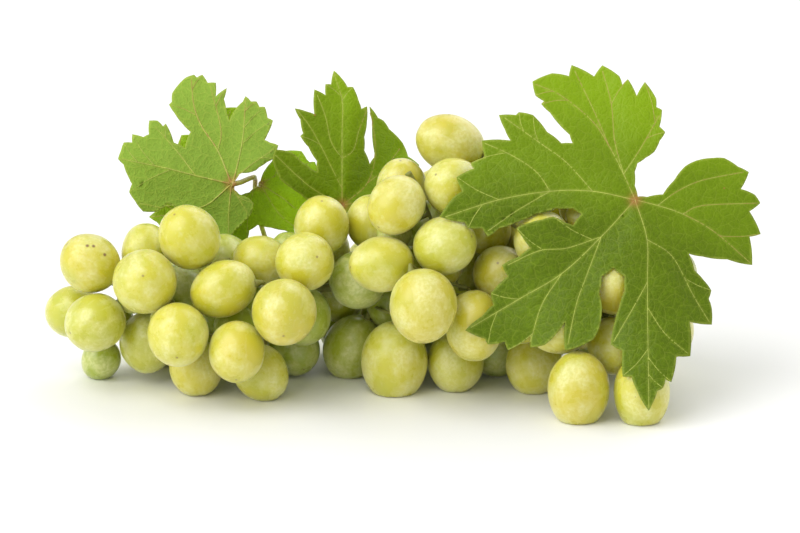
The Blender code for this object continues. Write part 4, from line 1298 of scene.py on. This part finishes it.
def paint_blade(bm, flat, leaf, lines):
    """Store on each point how near it is to a vein, the rim and the hub, and its painted light towards
    the lit lobes.
    """
    main_count = len(leaf["veins"])
    vein_glow = np.maximum(nearness(flat, lines[:main_count], GLOW_REACH[0]),
                           SIDE_GLOW * nearness(flat, lines[main_count:], GLOW_REACH[1]))
    edge = [Vector((x, y, 0.0)) for x, y in leaf["outline"] + leaf["outline"][:1]]
    rim = nearness(flat, [(1.0, edge)], RIM_REACH)
    vein_layer = bm.verts.layers.float.new("vein")
    rim_layer = bm.verts.layers.float.new("rim")
    hub_layer = bm.verts.layers.float.new("hub")
    painted_lobe_light_layer = bm.verts.layers.float.new("lobe")
    for k, vert in enumerate(bm.verts):
        x, y = flat[k]
        vert[vein_layer] = max(0.0, vein_glow[k])
        vert[rim_layer] = rim[k]
        vert[hub_layer] = math.exp(-(math.hypot(x, y) / HUB_RADIUS) ** 2)
        # painted light: lighter towards the leaf's lit side, painted shade at the hub and beyond
        painted_light = Vector((x, y)).dot(Vector(leaf["painted_light_side"]))
        vert[painted_lobe_light_layer] = max(0.0, min(1.0, PAINTED_LIGHT_AT_HUB + painted_light / PAINTED_LIGHT_LENGTH))


def bend_blade(bm, flat, lifts, leaf, lines, crease_depth):
    """Lift each flat point to its place: over the berries, rippled, and folded in at the veins."""
    main_count = len(leaf["veins"])
    crease = nearness(flat, lines[:main_count], CREASE_REACH[0]) ** 2
    crease += SIDE_CREASE * nearness(flat, lines[main_count:], CREASE_REACH[1]) ** 2
    inwards = 1.0 if leaf["underside_front"] else -1.0
    for k, vert in enumerate(bm.verts):
        x, y = flat[k]
        ripple = noise.noise(Vector((x * RIPPLE_SCALE, y * RIPPLE_SCALE, leaf["joint"][0])))
        quilt = noise.noise(Vector((x * QUILT_SCALE, y * QUILT_SCALE, leaf["joint"][1])))
        height = RIPPLE_HEIGHT * ripple + QUILT_HEIGHT * quilt * (1.0 - crease[k])
        height += inwards * crease_depth / MM * crease[k]
        place = unbent_place(x, y, leaf)
        vert.co = (place + BLADE_OUT * (lifts[k] + height)) * MM


def turn_blade(bm, way):
    """Make the faces of a blade agree and its upper side look along a way."""
    bmesh.ops.recalc_face_normals(bm, faces=bm.faces[:])
    facing = sum((face.normal * face.calc_area() for face in bm.faces), Vector())
    if facing.dot(way) < 0.0:
        bmesh.ops.reverse_faces(bm, faces=bm.faces[:])
    bm.normal_update()


def blade_mesh(name, leaf, settings):
    """The bent blade as a thin sheet, its veins' lines, and a way to place points on it."""
    cell = settings.cell / MM
    bm = flat_blade(leaf["outline"], cell)
    bm.verts.index_update()
    bm.faces.ensure_lookup_table()
    lines = vein_lines(leaf)
    snap_to_veins(bm, lines, cell * SNAP_REACH)
    flat = np.array([vert.co.xy for vert in bm.verts])
    edges = np.array([[vert.index for vert in edge.verts] for edge in bm.edges])
    lifts = blade_lifts(flat, leaf, node_tree(name), edges)
    uv_layer = bm.loops.layers.uv.new("blade")
    for loop in (loop for bm_face in bm.faces for loop in bm_face.loops):
        loop[uv_layer].uv = loop.vert.co.xy * UV_PER_MM
    surface = BVHTree.FromBMesh(bm)
    corners = [[vert.index for vert in bm_face.verts] for bm_face in bm.faces]
    paint_blade(bm, flat, leaf, lines)
    bend_blade(bm, flat, lifts, leaf, lines, settings.crease)
    if leaf["underside_front"]:
        bmesh.ops.reverse_faces(bm, faces=bm.faces[:])
    turn_blade(bm, -BLADE_OUT if leaf["underside_front"] else BLADE_OUT)
    bent = [(vert.co.copy(), vert.normal.copy()) for vert in bm.verts]
    mesh = bpy.data.meshes.new(name + "_blade")
    bm.to_mesh(mesh)
    bm.free()

    def on_blade(point):
        """The bent place of a flat point, and the way out of the upper side."""
        spot, _, index, _ = surface.find_nearest(Vector((point.x, point.y, 0.0)))
        a, b, c = corners[index]
        weights = corner_shares(spot, flat[a], flat[b], flat[c])
        bent_place = sum((bent[i][0] * w for i, w in zip((a, b, c), weights)), Vector())
        out = sum((bent[i][1] * w for i, w in zip((a, b, c), weights)), Vector())
        return bent_place, out.normalized()

    return mesh, lines, on_blade


def corner_shares(spot, a, b, c):
    """The share of each corner of a flat triangle in a point on it."""
    area = (b[0] - a[0]) * (c[1] - a[1]) - (c[0] - a[0]) * (b[1] - a[1])
    share_b = ((spot.x - a[0]) * (c[1] - a[1]) - (c[0] - a[0]) * (spot.y - a[1])) / area
    share_c = ((b[0] - a[0]) * (spot.y - a[1]) - (spot.x - a[0]) * (b[1] - a[1])) / area
    return 1.0 - share_b - share_c, share_b, share_c


def leaf_tissue(tree, mottle, place, base):
    """A leaf's green: painted shade at the hub, painted light on its lit lobes, drifts and mottles."""
    darker = tuple(channel * 0.62 for channel in base)
    lighter = tuple(min(1.0, channel * 1.60) for channel in base)
    lobe = painted(tree, "lobe")
    drift = calc(tree, "MULTIPLY", grain(tree, place, 38.0, 3.0), 0.6)
    # painted shade towards the hub and the far side, with random darker drifts
    colour = mixed(tree, ramp(tree, calc(tree, "ADD", drift, lobe), 0.25, 0.75), darker, base)
    # painted light: the lit lobes are made lighter still
    painted_light = calc(tree, "MULTIPLY", ramp(tree, lobe, 0.50, 1.0), 0.9)
    colour = mixed(tree, painted_light, colour, lighter)
    mottled = calc(tree, "MULTIPLY", ramp(tree, mottle, 0.42, 0.66), 0.14)
    return mixed(tree, mottled, colour, lighter)


def small_veins(tree):
    """Two nets of small veins over the blade: how far a point is from each, wide one first."""
    flat = put(tree, "ShaderNodeUVMap", {}, uv_map="blade").outputs[0]
    warp = put(tree, "ShaderNodeTexNoise", {"Vector": flat, "Scale": 14.0, "Detail": 2.0})
    bent = put(tree, "ShaderNodeMix", {0: 0.045, 4: flat, 5: warp.outputs["Color"]},
               data_type="VECTOR").outputs[1]
    return [put(tree, "ShaderNodeTexVoronoi", {"Vector": bent, "Scale": scale},
                voronoi_dimensions="2D", feature="DISTANCE_TO_EDGE").outputs["Distance"]
            for scale in (26.0, 80.0)]


def leaf_material(settings, name, base, is_upper):
    """Leaf tissue with a pale net of small veins, paler along the main ones."""
    mat, tree, shader = new_material(name)
    place = object_place(tree)
    mottle = grain(tree, place, 600.0, 4.0)
    colour = leaf_tissue(tree, mottle, place, base)
    wide_net, fine_net = small_veins(tree)
    wide = calc(tree, "MULTIPLY", ramp(tree, wide_net, 0.050, 0.010), 0.55)
    fine = calc(tree, "MULTIPLY", ramp(tree, fine_net, 0.110, 0.020), 0.26)
    net = calc(tree, "MULTIPLY", calc(tree, "MAXIMUM", wide, fine), 0.24 if is_upper else 0.45)
    colour = mixed(tree, net, colour, settings.vein)
    vein = painted(tree, "vein")
    glow = calc(tree, "MULTIPLY", ramp(tree, vein, 0.30, 1.0), 0.20)
    core = calc(tree, "MULTIPLY", ramp(tree, vein, 0.62, 0.95), 0.25)
    colour = mixed(tree, calc(tree, "MAXIMUM", glow, core), colour, settings.vein)
    worn = calc(tree, "MULTIPLY", ramp(tree, painted(tree, "rim"), 0.55, 1.0), 0.35)
    colour = mixed(tree, worn, colour, settings.vein)
    spots = calc(tree, "MULTIPLY", specks(tree, place, 130.0, 0.075, 0.07), 0.55)
    colour = mixed(tree, spots, colour, settings.blush)
    hub = calc(tree, "MULTIPLY", painted(tree, "hub"), 0.75)
    colour = mixed(tree, hub, colour, settings.blush)
    tree.links.new(colour, shader.inputs["Base Color"])
    low, high = (0.36, 0.56) if is_upper else (0.60, 0.80)
    rough = put(tree, "ShaderNodeMapRange", {"Value": mottle, "To Min": low, "To Max": high})
    tree.links.new(rough.outputs[0], shader.inputs["Roughness"])
    shader.inputs["Specular IOR Level"].default_value = 0.16 if is_upper else 0.12
    shader.inputs["Sheen Weight"].default_value = 0.0 if is_upper else 0.06
    shader.inputs["Sheen Roughness"].default_value = 0.45
    pillow = calc(tree, "MULTIPLY", ramp(tree, fine_net, 0.0, 0.35), 0.4)
    height = calc(tree, "ADD", pillow, calc(tree, "MULTIPLY", ramp(tree, wide_net, 0.0, 0.30), 0.5))
    bump(tree, shader, height, (0.16 if is_upper else -0.20) * MM)
    return mat


def vein_material(settings):
    """Raised veins and leaf stalks: pale green, flushed red near the hub and the stalk."""
    mat, tree, shader = new_material("leaf_vein")
    place = object_place(tree)
    streak = grain(tree, place, 420.0, 3.0)
    flush = calc(tree, "MULTIPLY", painted(tree, "flush"), ramp(tree, streak, 0.15, 0.75))
    green = tuple(channel * 0.72 for channel in settings.vein)
    colour = mixed(tree, ramp(tree, streak, 0.35, 0.65), settings.vein, green)
    colour = mixed(tree, flush, colour, settings.blush)
    tree.links.new(colour, shader.inputs["Base Color"])
    rough = put(tree, "ShaderNodeMapRange", {"Value": streak, "To Min": 0.42, "To Max": 0.62})
    tree.links.new(rough.outputs[0], shader.inputs["Roughness"])
    bump(tree, shader, streak, 0.08 * MM)
    return mat


def vein_tubes(lines, on_blade, settings):
    """Each vein as a fine line on the upper side and a rib that stands proud below."""
    tubes = []
    half = settings.thickness / 2.0
    for width, line in lines:
        ribs = []
        rib_radii = []
        fine = []
        fine_radii = []
        for k, point in enumerate(line):
            taper = 1.0 - VEIN_TAPER * k / (len(line) - 1)
            place, out = on_blade(point)
            rib = width * taper * settings.rib
            thread = max(THREAD_LEAST * MM, rib * THREAD_SHARE)
            ribs.append(place - out * (half + rib * RIB_PROUD))
            rib_radii.append(rib)
            fine.append(place + out * (half + THREAD_PROUD * MM - thread))
            fine_radii.append(thread)
        tubes.append((ribs, rib_radii))
        tubes.append((fine, fine_radii))
    return tubes


def leaf_stalk_tube(leaf, on_blade, settings):
    """The leaf's own stalk, from the hub of its veins to the main stalk."""
    root, out = on_blade(Vector((0.0, 0.0)))
    way = [(Vector(point) + TABLE_SHIFT) * MM for point in leaf["stalk"]]
    points = smooth_line([root - out * settings.thickness] + way, LEAF_STALK_STEP * MM)
    count = len(points) - 1
    at_blade, at_stalk = LEAF_STALK_ENDS
    radii = []
    for k in range(count + 1):
        swell = at_blade * math.exp(-k / SWELL_FADE)
        swell += at_stalk * math.exp(-(count - k) / SWELL_FADE)
        radii.append(settings.stalk * (LEAF_STALK_SLIM + swell))
    return points, radii


def flush_ribs(mesh, hub):
    """Store how red each point of the veins and the stalk is."""
    flush = mesh.attributes.new("flush", "FLOAT", "POINT")
    hub_red, hub_reach = FLUSH_HUB
    stalk_red, stalk_start = FLUSH_STALK
    values = []
    for vert in mesh.vertices:
        off_hub = vert.co - hub
        red = hub_red * math.exp(-(off_hub.length / (hub_reach * MM)) ** 2)
        if off_hub.dot(BLADE_OUT) < -stalk_start * MM:
            red += stalk_red
        values.append(min(1.0, red))
    flush.data.foreach_set("value", values)


class GRAPES_OT_leaves(bpy.types.Operator):
    """Make the vine leaves: thin toothed blades with raised veins and their stalks"""

    bl_idname = "grapes.leaves"
    bl_label = "Leaves"

    def execute(self, context):
        settings = context.scene.grape_leaves
        vein = vein_material(settings)
        for name, leaf in LEAVES.items():
            # painted light: each leaf gets its own materials, brightened by how much shade it lies in
            upper, under = [tuple(channel * leaf["painted_brightness"] for channel in colour)
                            for colour in (settings.upper, settings.under)]
            tissues = [leaf_material(settings, name + "_upper", upper, True),
                       leaf_material(settings, name + "_underside", under, False)]
            mesh, lines, on_blade = blade_mesh(name, leaf, settings)
            blade = add_piece(name + "_blade", mesh, tissues, name, [name])
            wall = blade.modifiers.new("thickness", "SOLIDIFY")
            wall.thickness = settings.thickness
            wall.offset = 0.0
            wall.material_offset = 1
            tubes = vein_tubes(lines, on_blade, settings)
            tubes.append(leaf_stalk_tube(leaf, on_blade, settings))
            ribs = tube_mesh(name + "_veins", tubes, 2)
            flush_ribs(ribs, on_blade(Vector((0.0, 0.0)))[0])
            add_piece(name + "_veins", ribs, [vein], name)
        return {"FINISHED"}


# ---------------------------------------------------------------------------
# Stage
# ---------------------------------------------------------------------------

# Each soft light: its place and its width in metres, and its share of the key light's power
SOFT_LIGHTS = {
    "key": ((-1.2, -0.9, 1.7), 2.2, 1.0),
    "back": ((1.1, 1.4, 1.6), 2.4, 0.6),
    "side": ((-1.9, -0.6, 0.5), 1.6, 0.14),
}


def floor_material(colour):
    """A pale matt table top with a trace of unevenness."""
    mat, tree, shader = new_material("floor_paper")
    place = object_place(tree)
    cloud = grain(tree, place, 3.0)
    darker = tuple(channel * 0.985 for channel in colour)
    tree.links.new(mixed(tree, cloud, colour, darker), shader.inputs["Base Color"])
    shader.inputs["Roughness"].default_value = 0.45
    shader.inputs["Specular IOR Level"].default_value = 0.25
    return mat


def add_floor(settings):
    """A wide floor under the bunch."""
    bm = bmesh.new()
    bmesh.ops.create_grid(bm, x_segments=8, y_segments=8, size=settings.floor_size / 2.0)
    mesh = bpy.data.meshes.new("floor")
    bm.to_mesh(mesh)
    bm.free()
    mesh.materials.append(floor_material(tuple(settings.floor)))
    floor = bpy.data.objects.new("floor", mesh)
    bpy.context.scene.collection.objects.link(floor)
    floor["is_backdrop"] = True


def add_surround(settings):
    """An even white surround."""
    world = bpy.data.worlds.new("white_surround")
    world.use_nodes = True
    background = world.node_tree.nodes["Background"]
    background.inputs["Color"].default_value = (1.0, 1.0, 1.0, 1.0)
    background.inputs["Strength"].default_value = settings.sky_light
    bpy.context.scene.world = world


def add_soft_light(name, place, size, power):
    """A large square light that faces the bunch."""
    data = bpy.data.lights.new(name, "AREA")
    data.size = size
    data.energy = power
    light = bpy.data.objects.new(name, data)
    bpy.context.scene.collection.objects.link(light)
    light.location = place
    light.rotation_euler = Vector(place).to_track_quat("Z", "Y").to_euler()


def add_camera(settings):
    """A long lens that looks slightly down on the bunch from the front."""
    data = bpy.data.cameras.new("camera")
    data.lens = settings.lens
    data.clip_start = 0.05
    data.clip_end = 50.0
    camera = bpy.data.objects.new("camera", data)
    bpy.context.scene.collection.objects.link(camera)
    lean = settings.elevation
    back = Vector((0.0, -math.cos(lean), math.sin(lean)))
    camera.location = Vector(settings.target) + back * settings.distance
    camera.rotation_euler = (math.pi / 2.0 - lean, 0.0, 0.0)
    bpy.context.scene.camera = camera


class GRAPES_OT_stage(bpy.types.Operator):
    """Add the pale floor, the soft lights and the camera"""

    bl_idname = "grapes.stage"
    bl_label = "Stage"

    def execute(self, context):
        settings = context.scene.grape_stage
        add_floor(settings)
        add_surround(settings)
        for name, (place, size, share) in SOFT_LIGHTS.items():
            add_soft_light(name, place, size, settings.key_light * share)
        add_camera(settings)
        context.scene.view_settings.view_transform = "Standard"
        return {"FINISHED"}


class GRAPES_PT_panel(bpy.types.Panel):
    """The steps of the bunch, in order"""

    bl_idname = "GRAPES_PT_panel"
    bl_label = "Grape bunch"
    bl_space_type = "VIEW_3D"
    bl_region_type = "UI"
    bl_category = "Grapes"

    def draw(self, context):
        for operator in OPERATORS:
            self.layout.operator(operator.bl_idname)


SETTINGS = {
    "grape_berries": GrapeBerrySettings,
    "grape_stalk": GrapeStalkSettings,
    "grape_leaves": GrapeLeafSettings,
    "grape_stage": GrapeStageSettings,
}
OPERATORS = (GRAPES_OT_berries, GRAPES_OT_inner_berries, GRAPES_OT_stalk, GRAPES_OT_leaves,
             GRAPES_OT_stage)


def register():
    """Make the settings, operators and panel known."""
    for name, group in SETTINGS.items():
        bpy.utils.register_class(group)
        setattr(bpy.types.Scene, name, PointerProperty(type=group))
    for item in (*OPERATORS, GRAPES_PT_panel):
        bpy.utils.register_class(item)


def unregister():
    """Take the settings, operators and panel away again."""
    for item in (GRAPES_PT_panel, *reversed(OPERATORS)):
        bpy.utils.unregister_class(item)
    for name, group in reversed(SETTINGS.items()):
        delattr(bpy.types.Scene, name)
        bpy.utils.unregister_class(group)


def main():
    """Build the whole bunch and measure its box beside the frame's."""
    register()
    bpy.ops.grapes.berries()
    bpy.ops.grapes.inner_berries()
    bpy.ops.grapes.stalk()
    bpy.ops.grapes.leaves()
    bpy.ops.grapes.stage()
    boxes = {"cad": CAD_BOX, "visual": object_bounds()}
    {name: [list(corner) for corner in box] for name, box in boxes.items()}


if __name__ == "__main__":
    main()
